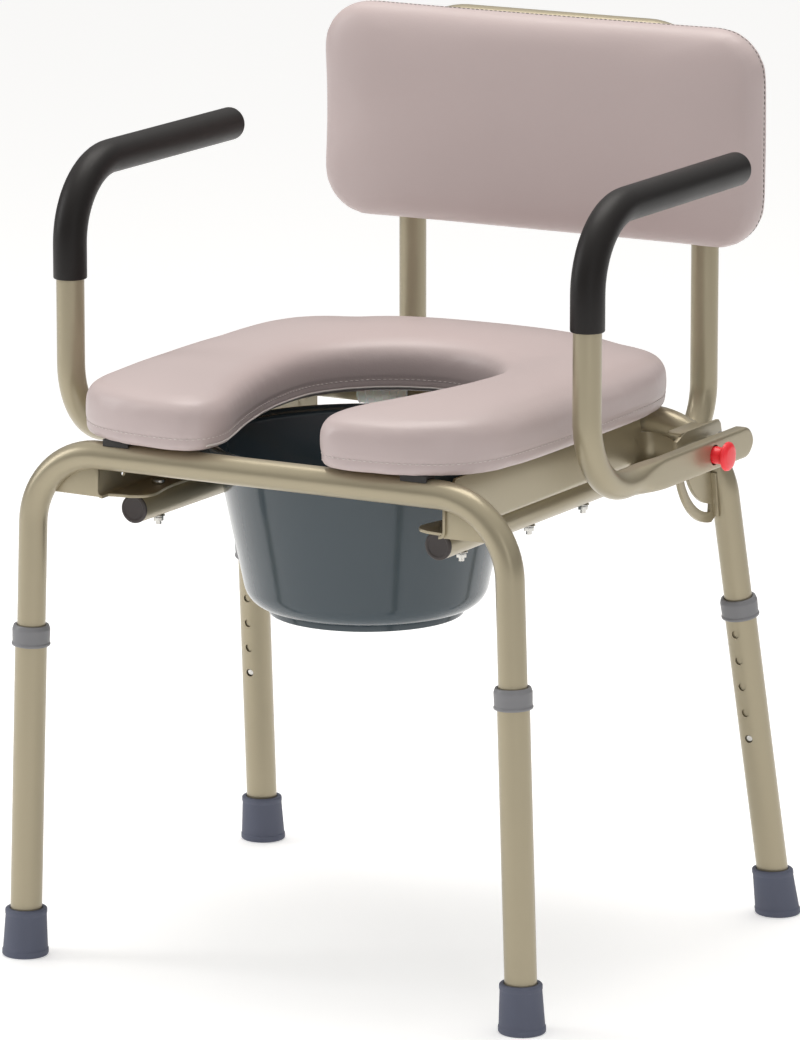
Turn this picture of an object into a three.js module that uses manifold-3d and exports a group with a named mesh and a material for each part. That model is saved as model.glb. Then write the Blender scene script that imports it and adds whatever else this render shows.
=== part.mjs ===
// A commode chair: a height-adjustable tube frame with a hinged, open-fronted padded seat over a
// lift-out pail, a padded back, and two armrests that drop when a sprung pin is pulled.
// Millimetres. +X is the sitter's left, +Y the back of the chair, +Z up.
// The origin is on the floor, at the middle of the chair's outer box.
import * as THREE from "three";
import { mergeVertices } from "three/addons/utils/BufferGeometryUtils.js";
import Module from "manifold-3d";

// Tube stock
const TUBE_R = 12.7;
const TUBE_WALL = 1.5;
const SLEEVE_R = 14.3;
const SLEEVE_WALL = 1;
const BEND_R = 70;
const BEND_STEPS = 4;
const TUBE_ARCS = 6;
const GAP = 0.3;

// Leg frames: each is an upside-down U whose legs spread as they go down
const CROSSBAR_Z = 467.5;
const FRONT_LEG = { x: 254.3, y: -263.4, spreadX: 0.0333, spreadY: 0 };
const REAR_LEG = { x: 274.5, y: 194.5, spreadX: 0.0626, spreadY: 0.1637 };
const LEG_TUBE_END_Z = 150;

// Adjustable feet
const SLEEVE_TOP_Z = 303;
const SLEEVE_BOTTOM_Z = 12;
const COLLAR = { r: 17, skirt: 16, lip: 3 };
const FOOT = { bottomR: 21, topR: 18.3, height: 44, pocketR: 15.2, floor: 8 };
const HOLE_R = 3.8;
const FIRST_HOLE_Z = 174.5;
const HOLE_PITCH = 25.4;
const HOLES = 5;
const BUTTON = { pinR: 3.2, flangeR: 4.8, inner: 7.6, shoulder: 9.2, tip: 12.8 };

// Side tubes and back posts, one long bent tube
const SIDE_X = 154;
const SIDE_Z = 414.9;
const SIDE_FRONT_Y = -232;
const SIDE_BEND_R = 58;
const POST_Y = 271.7;
const BACK_TOP_Z = 794;
const CAP = { r: 12.8, thick: 3 };

// Side rails of folded sheet
const SHEET = 2.5;
const WEB_X = 176.5;
const RAIL = { front: -262, rear: 126, low: 428, underBar: 454.2, top: 478 };
const FLANGE_X = 142;
const RAIL_BOLTS_Y = [-192, -68, 34];
const RAIL_BOLT = { r: 3, headR: 6, headHigh: 3.6, nutR: 5.8, nutLow: 396.5, tail: 393.5 };

// Pail and its ring
const PAIL = { x: -8, y: -74, bottom: 313.5, bottomR: 106, lean: 0.206, fillet: 24, top: 468, wall: 2.5 };
const PAIL_RIM = { r: 149, skirt: 449.2, thick: 2.5 };
const PAIL_FOOT = { r: 88, low: 307.5, wide: 5 };
const RING = { r: 152, holeR: 138, low: 446, high: 448.7, armY: 60 };

// Seat
const HINGE_Y = REAR_LEG.y - REAR_LEG.spreadY * CROSSBAR_Z;
const SEAT = { low: 484.3, board: 6, top: 533, halfWide: 213, front: -285, rear: 176, inset: 9 };
const MOUTH_HALF = 54;
const OPENING = { r: 100, y: -42 };
const CLIP = { x: 92.5, wide: 53, innerR: 13.2, outerR: 16.4 };
const BUMPER = { x: 150, wide: 26, deep: 16 };

// Back rest
const PAD = { halfWide: 228.5, low: 604.5, high: 809.5, corner: 48, front: 218, thick: 34 };
const PANEL = { thick: 5.5, inset: 10 };

// Drop arms
const ARM_X = 262;
const ARM_FRONT_Y = -163.9;
const ARM_TOP_Z = 703;
const ARM_TIP_Y = 117;
const PIVOT = { y: 118.1, z: 455 };
const ARM_FLAT = { inner: 262, outer: 275, half: 14, front: -70 };
const GRIP = { r: 15.3, boreR: 13.25, low: 602, end: 126 };

// Arm brackets, pivots and release pins
const PLATE = { inner: 240, outer: 243.5 };
const SLOT_R = 62;
const SLOT_HALF = 3.9;
const PLATE_R = 75.5;
const DROP_DEGREES = 80;
const PIN_R = 3.2;
const PIN_TIP_X = 237.5;
const BARREL = { r: 6, inner: 250 };
const KNOB = { neckR: 8, neckEnd: 285.5, headR: 13.3, end: 291.5 };
const PIVOT_BOLT_R = 3.5;
const BUSH = { r: 7.8, inner: 248 };

const SIDES = { l: 1, r: -1 };

const wasm = await Module();
wasm.setup();

const paint = { color: 0xa89e84, roughness: 0.42, metalness: 0.35 };
const vinyl = { color: 0xcdbcb6, roughness: 0.5, metalness: 0 };
const grip = { color: 0x1e1b1a, roughness: 0.7, metalness: 0 };
const pailPlastic = { color: 0x586268, roughness: 0.2, metalness: 0 };
const rubber = { color: 0x555a69, roughness: 0.75, metalness: 0 };
const greyPlastic = { color: 0x7d7d80, roughness: 0.5, metalness: 0 };
const redPlastic = { color: 0xe1232d, roughness: 0.35, metalness: 0 };
const capPlastic = { color: 0x3c3437, roughness: 0.6, metalness: 0 };
const clearPlastic = { color: 0xd8d6d0, roughness: 0.4, metalness: 0 };
const steel = { color: 0xb9bab8, roughness: 0.3, metalness: 0.9 };
const board = { color: 0x8a6f4e, roughness: 0.8, metalness: 0 };

const chair = new THREE.Group();

function add(name, geometry, look, parent = chair) {
  const mesh = new THREE.Mesh(geometry, new THREE.MeshStandardMaterial(look));
  mesh.name = name;
  parent.add(mesh);
  return mesh;
}

// ---- solids ----

function toSolid(geometry) {
  const bare = geometry.clone();
  bare.deleteAttribute("normal");
  bare.deleteAttribute("uv");
  const merged = mergeVertices(bare, 1e-4);
  return new wasm.Manifold(
    new wasm.Mesh({
      numProp: 3,
      vertProperties: new Float32Array(merged.attributes.position.array),
      triVerts: new Uint32Array(merged.index.array),
    }),
  );
}

function toGeometry(solid) {
  const mesh = solid.getMesh();
  const geometry = new THREE.BufferGeometry();
  geometry.setAttribute("position", new THREE.BufferAttribute(mesh.vertProperties, 3));
  geometry.setIndex(new THREE.BufferAttribute(mesh.triVerts, 1));
  geometry.computeVertexNormals();
  return geometry;
}

function join(...pieces) {
  return toGeometry(pieces.map(toSolid).reduce((whole, piece) => whole.add(piece)));
}

function cut(piece, ...tools) {
  return toGeometry(tools.map(toSolid).reduce((left, tool) => left.subtract(tool), toSolid(piece)));
}

// ---- bent tube ----

// A path of straight runs and true arcs: each inner corner of the points is rounded to the radius.
class BentPath extends THREE.Curve {
  constructor(corners, radius, steps = BEND_STEPS) {
    super();
    this.stations = [];
    corners.forEach((corner, i) => {
      if (i === 0 || i === corners.length - 1) {
        const other = corners[i === 0 ? 1 : i - 1];
        const along = i === 0 ? other.clone().sub(corner) : corner.clone().sub(other);
        this.stations.push({ at: corner.clone(), along: along.normalize() });
        return;
      }
      const into = corner.clone().sub(corners[i - 1]).normalize();
      const out = corners[i + 1].clone().sub(corner).normalize();
      const turn = into.angleTo(out);
      const reach = radius * Math.tan(turn / 2);
      const start = corner.clone().addScaledVector(into, -reach);
      const side = out.clone().addScaledVector(into, -out.dot(into)).normalize();
      for (let k = 0; k <= steps; k++) {
        const a = (turn * k) / steps;
        const at = start.clone().addScaledVector(into, radius * Math.sin(a));
        at.addScaledVector(side, radius * (1 - Math.cos(a)));
        const along = into.clone().multiplyScalar(Math.cos(a)).addScaledVector(side, Math.sin(a));
        this.stations.push({ at, along });
      }
    });
  }
  station(u) {
    return this.stations[Math.round(u * (this.stations.length - 1))];
  }
  getPointAt(u, target = new THREE.Vector3()) {
    return target.copy(this.station(u).at);
  }
  getTangentAt(u, target = new THREE.Vector3()) {
    return target.copy(this.station(u).along);
  }
}

function disc(radius) {
  return new THREE.Shape().absarc(0, 0, radius, 0, 2 * Math.PI, false);
}

function sweep(path, outerR, innerR = 0) {
  const section = disc(outerR);
  if (innerR > 0) section.holes.push(new THREE.Path().absarc(0, 0, innerR, 0, 2 * Math.PI, true));
  return new THREE.ExtrudeGeometry(section, {
    steps: path.stations.length - 1,
    curveSegments: TUBE_ARCS,
    extrudePath: path,
  });
}

// ---- plain shapes ----

const point = (x, y, z) => new THREE.Vector3(x, y, z);

// A round bar between two points.
function rod(radius, from, to, sides = 16) {
  const along = to.clone().sub(from);
  const bar = new THREE.CylinderGeometry(radius, radius, along.length(), sides);
  const turn = new THREE.Quaternion().setFromUnitVectors(point(0, 1, 0), along.normalize());
  bar.applyQuaternion(turn);
  const middle = from.clone().add(to).multiplyScalar(0.5);
  return bar.translate(middle.x, middle.y, middle.z);
}

function box(low, high) {
  const size = high.clone().sub(low);
  const middle = low.clone().add(high).multiplyScalar(0.5);
  return new THREE.BoxGeometry(size.x, size.y, size.z).translate(middle.x, middle.y, middle.z);
}

// A lathe turned about +Z from [radius, height] pairs.
function turned(profile, segments = 24) {
  const outline = profile.map(([r, z]) => new THREE.Vector2(r, z));
  return new THREE.LatheGeometry(outline, segments).rotateX(Math.PI / 2);
}

function slab(shape, thick, arcs = 6) {
  return new THREE.ExtrudeGeometry(shape, { depth: thick, bevelEnabled: false, curveSegments: arcs });
}

// A flat plate square to X, from an outline drawn in Y and Z.
function plateX(shape, low, high, arcs = 6) {
  const turn = new THREE.Matrix4().makeBasis(point(0, 1, 0), point(0, 0, 1), point(1, 0, 0));
  return slab(shape, high - low, arcs).applyMatrix4(turn).translate(low, 0, 0);
}

// A flat plate square to Y, from an outline drawn in X and Z.
function plateY(shape, low, high, arcs = 6) {
  const turn = new THREE.Matrix4().makeBasis(point(1, 0, 0), point(0, 0, 1), point(0, -1, 0));
  return slab(shape, high - low, arcs).applyMatrix4(turn).translate(0, high, 0);
}

// A flat plate square to Z, from an outline drawn in X and Y.
function plateZ(shape, low, high, arcs = 6) {
  return slab(shape, high - low, arcs).translate(0, 0, low);
}

function polygon(points) {
  return new THREE.Shape(points.map(([a, b]) => new THREE.Vector2(a, b)));
}

function roundedBox(halfWide, low, high, radius) {
  const shape = new THREE.Shape();
  shape.absarc(halfWide - radius, high - radius, radius, 0, Math.PI / 2, false);
  shape.absarc(-halfWide + radius, high - radius, radius, Math.PI / 2, Math.PI, false);
  shape.absarc(-halfWide + radius, low + radius, radius, Math.PI, 1.5 * Math.PI, false);
  shape.absarc(halfWide - radius, low + radius, radius, 1.5 * Math.PI, 2 * Math.PI, false);
  shape.closePath();
  return shape;
}

// The mirror image of a piece drawn on the +X side, with its faces turned back outwards.
function sided(geometry, side) {
  if (side > 0) return geometry;
  const mirrored = geometry.index ? geometry.toNonIndexed() : geometry.clone();
  const at = mirrored.attributes.position;
  for (let i = 0; i < at.count; i += 3) {
    const [a, b, c] = [0, 2, 1].map((k) => point(-at.getX(i + k), at.getY(i + k), at.getZ(i + k)));
    [a, b, c].forEach((v, k) => at.setXYZ(i + k, v.x, v.y, v.z));
  }
  mirrored.computeVertexNormals();
  return mirrored;
}

// ---- legs ----

function legPoint(leg, z, side) {
  return point(side * (leg.x - leg.spreadX * z), leg.y - leg.spreadY * z, z);
}

function legFramePath(leg) {
  return new BentPath(
    [
      legPoint(leg, LEG_TUBE_END_Z, -1),
      legPoint(leg, CROSSBAR_Z, -1),
      legPoint(leg, CROSSBAR_Z, 1),
      legPoint(leg, LEG_TUBE_END_Z, 1),
    ],
    BEND_R,
  );
}

// How much longer a leg is than its height.
function legStretch(leg) {
  return Math.hypot(1, leg.spreadX, leg.spreadY);
}

function legUp(leg, side) {
  return legPoint(leg, 1, side).sub(legPoint(leg, 0, side)).normalize();
}

// The way a leg's button and holes face: square to the leg, inwards between front and rear.
function buttonWay(leg, side) {
  const up = legUp(leg, side);
  const inwards = point(0, leg.y < 0 ? 1 : -1, 0);
  return inwards.addScaledVector(up, -inwards.dot(up)).normalize();
}

function holeTool(leg, side, z) {
  const middle = legPoint(leg, z, side);
  const way = buttonWay(leg, side);
  const from = middle.clone().addScaledVector(way, TUBE_WALL * 3);
  return rod(HOLE_R, from, middle.addScaledVector(way, SLEEVE_R + 6), 10);
}

function legFrame(leg) {
  const tube = sweep(legFramePath(leg), TUBE_R, TUBE_R - TUBE_WALL);
  return cut(tube, holeTool(leg, 1, FIRST_HOLE_Z), holeTool(leg, -1, FIRST_HOLE_Z));
}

function sleeve(leg, side) {
  const ends = [SLEEVE_BOTTOM_Z, SLEEVE_TOP_Z].map((z) => legPoint(leg, z, side));
  const tube = sweep(new BentPath(ends, 0), SLEEVE_R, SLEEVE_R - SLEEVE_WALL);
  const tools = [];
  const pitchZ = HOLE_PITCH / legStretch(leg);
  for (let i = 0; i < HOLES; i++) tools.push(holeTool(leg, side, FIRST_HOLE_Z + i * pitchZ));
  return cut(tube, ...tools);
}

// Carries a piece turned about +Z at height z onto the leg's own axis.
function ontoLeg(geometry, leg, side) {
  const turn = new THREE.Quaternion().setFromUnitVectors(point(0, 0, 1), legUp(leg, side));
  const base = legPoint(leg, 0, side);
  return geometry.applyQuaternion(turn).translate(base.x, base.y, base.z);
}

function collarRing(leg, side) {
  const lip = TUBE_R + 0.7;
  const bore = SLEEVE_R + 0.5;
  const shelf = SLEEVE_TOP_Z * legStretch(leg) + GAP;
  const low = shelf - COLLAR.skirt;
  const high = shelf + COLLAR.lip;
  const profile = [
    [bore, low],
    [COLLAR.r - 0.6, low],
    [COLLAR.r, low + 1],
    [COLLAR.r, high - 1],
    [COLLAR.r - 1, high],
    [lip, high],
    [lip, shelf],
    [bore, shelf],
    [bore, low],
  ];
  return ontoLeg(turned(profile, 16), leg, side);
}

// The rubber tip leans with its leg, but its sole lies flat on the floor.
function foot(leg, side) {
  const profile = [
    [0, 0],
    [FOOT.bottomR - 1.5, 0],
    [FOOT.bottomR, 1.5],
    [FOOT.bottomR, 6],
    [FOOT.topR, FOOT.height - 2],
    [FOOT.topR - 1, FOOT.height],
    [FOOT.pocketR, FOOT.height],
    [FOOT.pocketR, FOOT.floor],
    [0, FOOT.floor],
  ];
  const lean = new THREE.Matrix4();
  lean.elements[8] = -side * leg.spreadX;
  lean.elements[9] = -leg.spreadY;
  return turned(profile, 18).applyMatrix4(lean).translate(side * leg.x, leg.y, 0);
}

function snapButton(leg, side) {
  const profile = [
    [0, BUTTON.inner],
    [BUTTON.flangeR, BUTTON.inner],
    [BUTTON.flangeR, BUTTON.shoulder],
    [BUTTON.pinR, BUTTON.shoulder],
    [BUTTON.pinR, BUTTON.tip - 0.45],
    [BUTTON.pinR * 0.75, BUTTON.tip - 0.2],
    [0, BUTTON.tip],
  ];
  const turn = new THREE.Quaternion().setFromUnitVectors(point(0, 0, 1), buttonWay(leg, side));
  const at = legPoint(leg, FIRST_HOLE_Z, side);
  return turned(profile, 8).applyQuaternion(turn).translate(at.x, at.y, at.z);
}

add("front_leg_frame", legFrame(FRONT_LEG), paint);
add("rear_leg_frame", legFrame(REAR_LEG), paint);
for (const [end, leg] of Object.entries({ front: FRONT_LEG, rear: REAR_LEG })) {
  for (const [name, side] of Object.entries(SIDES)) {
    add(`leg_sleeve_${end}_${name}`, sleeve(leg, side), paint);
    add(`leg_collar_${end}_${name}`, collarRing(leg, side), greyPlastic);
    add(`leg_foot_${end}_${name}`, foot(leg, side), rubber);
    add(`snap_button_${end}_${name}`, snapButton(leg, side), steel);
  }
}

// ---- back frame ----

const backPath = new BentPath(
  [
    point(-SIDE_X, SIDE_FRONT_Y, SIDE_Z),
    point(-SIDE_X, POST_Y, SIDE_Z),
    point(-SIDE_X, POST_Y, BACK_TOP_Z),
    point(SIDE_X, POST_Y, BACK_TOP_Z),
    point(SIDE_X, POST_Y, SIDE_Z),
    point(SIDE_X, SIDE_FRONT_Y, SIDE_Z),
  ],
  SIDE_BEND_R,
);

function railBoltHole(side, y) {
  const low = point(side * SIDE_X, y, SIDE_Z - TUBE_R - 5);
  return rod(RAIL_BOLT.r + 0.5, low, point(side * SIDE_X, y, RAIL.low + 5), 10);
}

const boltHoles = Object.values(SIDES).flatMap((s) => RAIL_BOLTS_Y.map((y) => railBoltHole(s, y)));
add("back_frame", cut(sweep(backPath, TUBE_R, TUBE_R - TUBE_WALL), ...boltHoles), paint);

function tubeCap(side) {
  const plugR = TUBE_R - TUBE_WALL - 0.4;
  const profile = [
    [0, -12],
    [plugR, -12],
    [plugR, GAP],
    [CAP.r, GAP],
    [CAP.r, CAP.thick - 0.8],
    [CAP.r - 1.2, CAP.thick],
    [0, CAP.thick],
  ];
  return turned(profile, 16).rotateX(Math.PI / 2).translate(side * SIDE_X, SIDE_FRONT_Y, SIDE_Z);
}

// ---- side rails ----

function sideRail() {
  const barFront = FRONT_LEG.y + TUBE_R + 1;
  const barRear = HINGE_Y - TUBE_R - 1;
  const web = polygon([
    [RAIL.front, RAIL.low],
    [RAIL.rear, RAIL.low],
    [RAIL.rear, RAIL.underBar - 0.4],
    [barRear, RAIL.underBar - 0.4],
    [barRear - 6, RAIL.top],
    [barFront + 6, RAIL.top],
    [barFront, RAIL.underBar + 6],
    [barFront, RAIL.underBar],
    [RAIL.front, RAIL.underBar],
  ]);
  const flange = new THREE.Shape();
  flange.moveTo(WEB_X, RAIL.rear - 24);
  flange.lineTo(FLANGE_X, RAIL.rear - 24);
  flange.lineTo(FLANGE_X, -185);
  flange.quadraticCurveTo(FLANGE_X - 1, -205, FLANGE_X - 6, -222);
  flange.quadraticCurveTo(FLANGE_X - 9, -238, FLANGE_X, -244);
  flange.quadraticCurveTo(FLANGE_X + 16, -251, WEB_X, -252);
  flange.closePath();
  const frontGusset = polygon([
    [WEB_X - SHEET, RAIL.low],
    [222, RAIL.low + 1],
    [226, 452],
    [WEB_X - SHEET, 462],
  ]);
  const rearGusset = polygon([
    [WEB_X - SHEET, RAIL.low],
    [232, RAIL.low],
    [234, 438],
    [200, 452],
    [WEB_X - SHEET, 455],
  ]);
  const lip = polygon([
    [WEB_X - SHEET, RAIL.rear - 40],
    [WEB_X + 8, RAIL.rear - 30],
    [220, 101],
    [226, 112],
    [WEB_X - SHEET, 112],
  ]);
  const frontBar = sweep(legFramePath(FRONT_LEG), TUBE_R + GAP);
  const rearBar = sweep(legFramePath(REAR_LEG), TUBE_R + GAP);
  const whole = join(
    plateX(web, WEB_X - SHEET, WEB_X),
    plateZ(flange, RAIL.low, RAIL.low + SHEET),
    plateY(frontGusset, FRONT_LEG.y + 3, FRONT_LEG.y + 3 + SHEET),
    plateY(rearGusset, 110, 110 + SHEET),
    plateZ(lip, RAIL.low, RAIL.low + SHEET),
  );
  const webHole = point(WEB_X - 6, -218.6, 443);
  return cut(
    whole,
    frontBar,
    rearBar,
    rod(3.2, webHole, webHole.clone().add(point(12, 0, 0)), 10),
    ...RAIL_BOLTS_Y.map((y) => railBoltHole(1, y)),
  );
}

function railBolt(side, y) {
  const { r, headR, headHigh, nutR, nutLow, tail } = RAIL_BOLT;
  const seat = RAIL.low + SHEET + GAP;
  const at = (z) => point(side * SIDE_X, y, z);
  const nutTop = SIDE_Z - TUBE_R - GAP;
  return join(
    rod(headR, at(seat), at(seat + headHigh), 8),
    rod(r, at(tail), at(seat + 1), 8),
    rod(nutR, at(nutLow), at(nutTop), 6),
  );
}

const rail = sideRail();
for (const [name, side] of Object.entries(SIDES)) {
  add(`side_rail_${name}`, sided(rail, side), paint);
  add(`back_frame_cap_${name}`, tubeCap(side), capPlastic);
  RAIL_BOLTS_Y.forEach((y, i) => add(`rail_bolt_${name}_${i + 1}`, railBolt(side, y), steel));
}

// ---- pail and ring ----

function pailRing() {
  const edge = WEB_X - SHEET - GAP;
  const armHalf = 22;
  const outline = new THREE.Shape().absarc(0, PAIL.y, RING.r, 0, 2 * Math.PI, false);
  const arm = polygon([
    [-edge, PAIL.y + RING.armY - armHalf],
    [edge, PAIL.y + RING.armY - armHalf],
    [edge, PAIL.y + RING.armY + armHalf],
    [-edge, PAIL.y + RING.armY + armHalf],
  ]);
  const frontArm = polygon([
    [-edge, PAIL.y - RING.armY - armHalf],
    [edge, PAIL.y - RING.armY - armHalf],
    [edge, PAIL.y - RING.armY + armHalf],
    [-edge, PAIL.y - RING.armY + armHalf],
  ]);
  const plate = join(
    plateZ(outline, RING.low, RING.high, 14),
    plateZ(arm, RING.low, RING.high),
    plateZ(frontArm, RING.low, RING.high),
  );
  const hole = rod(RING.holeR, point(PAIL.x, PAIL.y, 400), point(PAIL.x, PAIL.y, 460), 28);
  return cut(plate, hole);
}

function pail() {
  const { bottom, bottomR, lean, fillet, top, wall } = PAIL;
  const outer = [];
  const slant = Math.atan(lean);
  const centreR = bottomR + lean * fillet - fillet * Math.hypot(1, lean);
  for (let i = 0; i <= 4; i++) {
    const a = -Math.PI / 2 + ((Math.PI / 2 - slant) * i) / 4;
    outer.push([centreR + fillet * Math.cos(a), bottom + fillet + fillet * Math.sin(a)]);
  }
  const topR = bottomR + lean * (top - bottom);
  const underR = topR - lean * 3;
  const inner = outer.map(([r, z], i) => [r - (i === 0 ? 0 : wall), z + (i < 3 ? wall : wall * 0.6)]);
  const { r: footR, low: footLow, wide } = PAIL_FOOT;
  const profile = [
    [0, bottom],
    [footR - wide, bottom],
    [footR - wide, footLow],
    [footR, footLow],
    [footR, bottom],
    ...outer.slice(1),
    [underR, top - PAIL_RIM.thick],
    [PAIL_RIM.r - PAIL_RIM.thick, top - PAIL_RIM.thick],
    [PAIL_RIM.r - PAIL_RIM.thick, PAIL_RIM.skirt],
    [PAIL_RIM.r, PAIL_RIM.skirt],
    [PAIL_RIM.r, top - 2],
    [PAIL_RIM.r - 2, top],
    [topR - wall, top],
    ...inner.slice(1).reverse(),
    [0, bottom + wall],
  ];
  return turned(profile, 28).translate(PAIL.x, PAIL.y, 0);
}

add("pail_ring", pailRing(), paint);
add("pail", pail(), pailPlastic);

// ---- seat ----

// The seat's plan: a broad shield, open at the front, with a round-backed well.
function seatPlan(grow) {
  const w = SEAT.halfWide + grow;
  const f = SEAT.front - grow;
  const mouth = MOUTH_HALF - grow;
  const well = OPENING.r - grow;
  const rear = SEAT.rear + grow;
  const shape = new THREE.Shape();
  shape.moveTo(well, OPENING.y);
  shape.bezierCurveTo(well, -110, mouth + 22, -180, mouth + 4, -232);
  shape.bezierCurveTo(mouth - 3, -268, mouth + 8, f, mouth + 36, f);
  shape.bezierCurveTo(162, f, w - 8, -264, w - 4, -196);
  shape.bezierCurveTo(w, -150, w + 3, -40, w - 3, 50);
  shape.bezierCurveTo(w - 6, 102, 189, 137, 153, 150);
  shape.bezierCurveTo(102, rear - 4, 50, rear, 0, rear);
  shape.bezierCurveTo(-50, rear, -102, rear - 4, -153, 150);
  shape.bezierCurveTo(-189, 137, -w + 6, 102, -w + 3, 50);
  shape.bezierCurveTo(-w - 3, -40, -w, -150, -w + 4, -196);
  shape.bezierCurveTo(-w + 8, -264, -162, f, -mouth - 36, f);
  shape.bezierCurveTo(-mouth - 8, f, -mouth + 3, -268, -mouth - 4, -232);
  shape.bezierCurveTo(-mouth - 22, -180, -well, -110, -well, OPENING.y);
  shape.absarc(0, OPENING.y, well, Math.PI, 0, true);
  return shape;
}

// A foam cushion with its upper edge rounded in two steps.
function seatCushion() {
  const low = SEAT.low + SEAT.board + GAP;
  return join(
    plateZ(seatPlan(0), low, SEAT.top - 12, 5),
    plateZ(seatPlan(-4), SEAT.top - 12.5, SEAT.top - 4, 5),
    plateZ(seatPlan(-11), SEAT.top - 4.5, SEAT.top, 5),
  );
}

function hingeClip(side) {
  const hinge = { y: HINGE_Y, z: CROSSBAR_Z };
  const top = SEAT.low - GAP;
  const shape = new THREE.Shape();
  const open = Math.PI * 0.22;
  const start = 1.5 * Math.PI + open;
  shape.absarc(hinge.y, hinge.z, CLIP.outerR, start, 2 * Math.PI, false);
  shape.lineTo(hinge.y + CLIP.outerR, top);
  shape.lineTo(hinge.y - CLIP.outerR, top);
  shape.absarc(hinge.y, hinge.z, CLIP.outerR, Math.PI, 1.5 * Math.PI - open, false);
  shape.absarc(hinge.y, hinge.z, CLIP.innerR, 1.5 * Math.PI - open, 1.5 * Math.PI + open, true);
  shape.closePath();
  const x = side * CLIP.x;
  return plateX(shape, x - CLIP.wide / 2, x + CLIP.wide / 2, 6);
}

function seatBumper(side) {
  const x = side * BUMPER.x;
  const low = point(x - BUMPER.wide / 2, FRONT_LEG.y - BUMPER.deep / 2, CROSSBAR_Z + TUBE_R - 3);
  const high = point(x + BUMPER.wide / 2, FRONT_LEG.y + BUMPER.deep / 2, SEAT.low - GAP);
  const bar = new BentPath([point(-200, FRONT_LEG.y, CROSSBAR_Z), point(200, FRONT_LEG.y, CROSSBAR_Z)], 0);
  return cut(box(low, high), sweep(bar, TUBE_R + 0.4));
}

add("seat_cushion", seatCushion(), vinyl);
add("seat_board", plateZ(seatPlan(-SEAT.inset), SEAT.low, SEAT.low + SEAT.board, 5), board);
for (const [name, side] of Object.entries(SIDES)) {
  add(`hinge_clip_${name}`, hingeClip(side), clearPlastic);
  add(`seat_bumper_${name}`, seatBumper(side), rubber);
}

// ---- back rest ----

function backCushion() {
  const { halfWide: w, low, high, corner, front, thick } = PAD;
  const step = (inset, y0, y1) =>
    plateY(roundedBox(w - inset, low + inset, high - inset, corner - inset), y0, y1, 6);
  return join(
    step(0, front + 10, front + thick - 4),
    step(4, front + 3, front + thick),
    step(12, front, front + 4),
  );
}

const panelFront = PAD.front + PAD.thick + GAP;
const panelPlan = roundedBox(
  PAD.halfWide - PANEL.inset,
  PAD.low + PANEL.inset,
  PAD.high - PANEL.inset,
  PAD.corner - PANEL.inset,
);
add("back_cushion", backCushion(), vinyl);
add("back_panel", plateY(panelPlan, panelFront, panelFront + PANEL.thick), board);

// ---- arm brackets ----

function armPoint(radius, degrees) {
  const a = (degrees * Math.PI) / 180;
  return [PIVOT.y + radius * Math.cos(a), PIVOT.z + radius * Math.sin(a)];
}

// A quadrant plate with a curved slot about the pivot, an ear that carries the pivot,
// and an edge folded out along the front of the leg.
function armBracket() {
  const shape = new THREE.Shape();
  const [, lowZ] = armPoint(PLATE_R, 270);
  shape.moveTo(...armPoint(PLATE_R, 172));
  shape.absarc(PIVOT.y, PIVOT.z, PLATE_R, (172 * Math.PI) / 180, (266 * Math.PI) / 180, false);
  shape.lineTo(PIVOT.y + 6, lowZ + 6);
  shape.lineTo(PIVOT.y + 12, PIVOT.z - 10);
  shape.lineTo(PIVOT.y + 14, PIVOT.z + 6);
  shape.lineTo(PIVOT.y + 8, PIVOT.z + 17);
  shape.lineTo(PIVOT.y - 60, PIVOT.z + 17);
  shape.closePath();
  const slot = new THREE.Shape();
  const start = (176.5 * Math.PI) / 180;
  const end = ((180 + DROP_DEGREES + 3.5) * Math.PI) / 180;
  slot.absarc(PIVOT.y, PIVOT.z, SLOT_R + SLOT_HALF, start, end, false);
  slot.absarc(PIVOT.y, PIVOT.z, SLOT_R - SLOT_HALF, end, start, true);
  slot.closePath();
  const legFront = (z) => REAR_LEG.y - REAR_LEG.spreadY * z - TUBE_R * Math.hypot(1, REAR_LEG.spreadY) - GAP;
  const fold = polygon([
    [legFront(386) - 2.4, 386],
    [legFront(386), 386],
    [legFront(424), 424],
    [legFront(424) - 2.4, 424],
  ]);
  const solid = join(plateX(shape, PLATE.inner, PLATE.outer, 8), plateX(fold, PLATE.inner, 249));
  const leg = sweep(legFramePath(REAR_LEG), TUBE_R + GAP);
  const bolt = rod(
    PIVOT_BOLT_R + 0.4,
    point(PLATE.inner - 2, PIVOT.y, PIVOT.z),
    point(PLATE.outer + 2, PIVOT.y, PIVOT.z),
    12,
  );
  return cut(solid, plateX(slot, PLATE.inner - 1, PLATE.outer + 1, 8), leg, bolt);
}

// A shouldered bolt: a flush end in the bracket, a shank, and a head inside the flattened arm.
function pivotBolt() {
  const at = (x) => point(x, PIVOT.y, PIVOT.z);
  return join(
    rod(PIVOT_BOLT_R, at(PLATE.inner + 1.5), at(ARM_FLAT.inner + 5), 12),
    rod(7, at(ARM_FLAT.inner + 2.2), at(ARM_FLAT.inner + 7.5), 6),
  );
}

function pivotBush() {
  const at = (x) => point(x, PIVOT.y, PIVOT.z);
  const edge = ARM_FLAT.inner - GAP;
  return cut(
    rod(BUSH.r, at(BUSH.inner), at(edge), 16),
    rod(PIVOT_BOLT_R + 0.5, at(BUSH.inner - 1), at(edge + 1), 12),
  );
}

// ---- drop arms ----

function armPath(endY) {
  return new BentPath(
    [
      point(ARM_X, ARM_FLAT.front, PIVOT.z),
      point(ARM_X, ARM_FRONT_Y, PIVOT.z),
      point(ARM_X, ARM_FRONT_Y, ARM_TOP_Z),
      point(ARM_X, endY, ARM_TOP_Z),
    ],
    BEND_R,
  );
}

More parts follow.
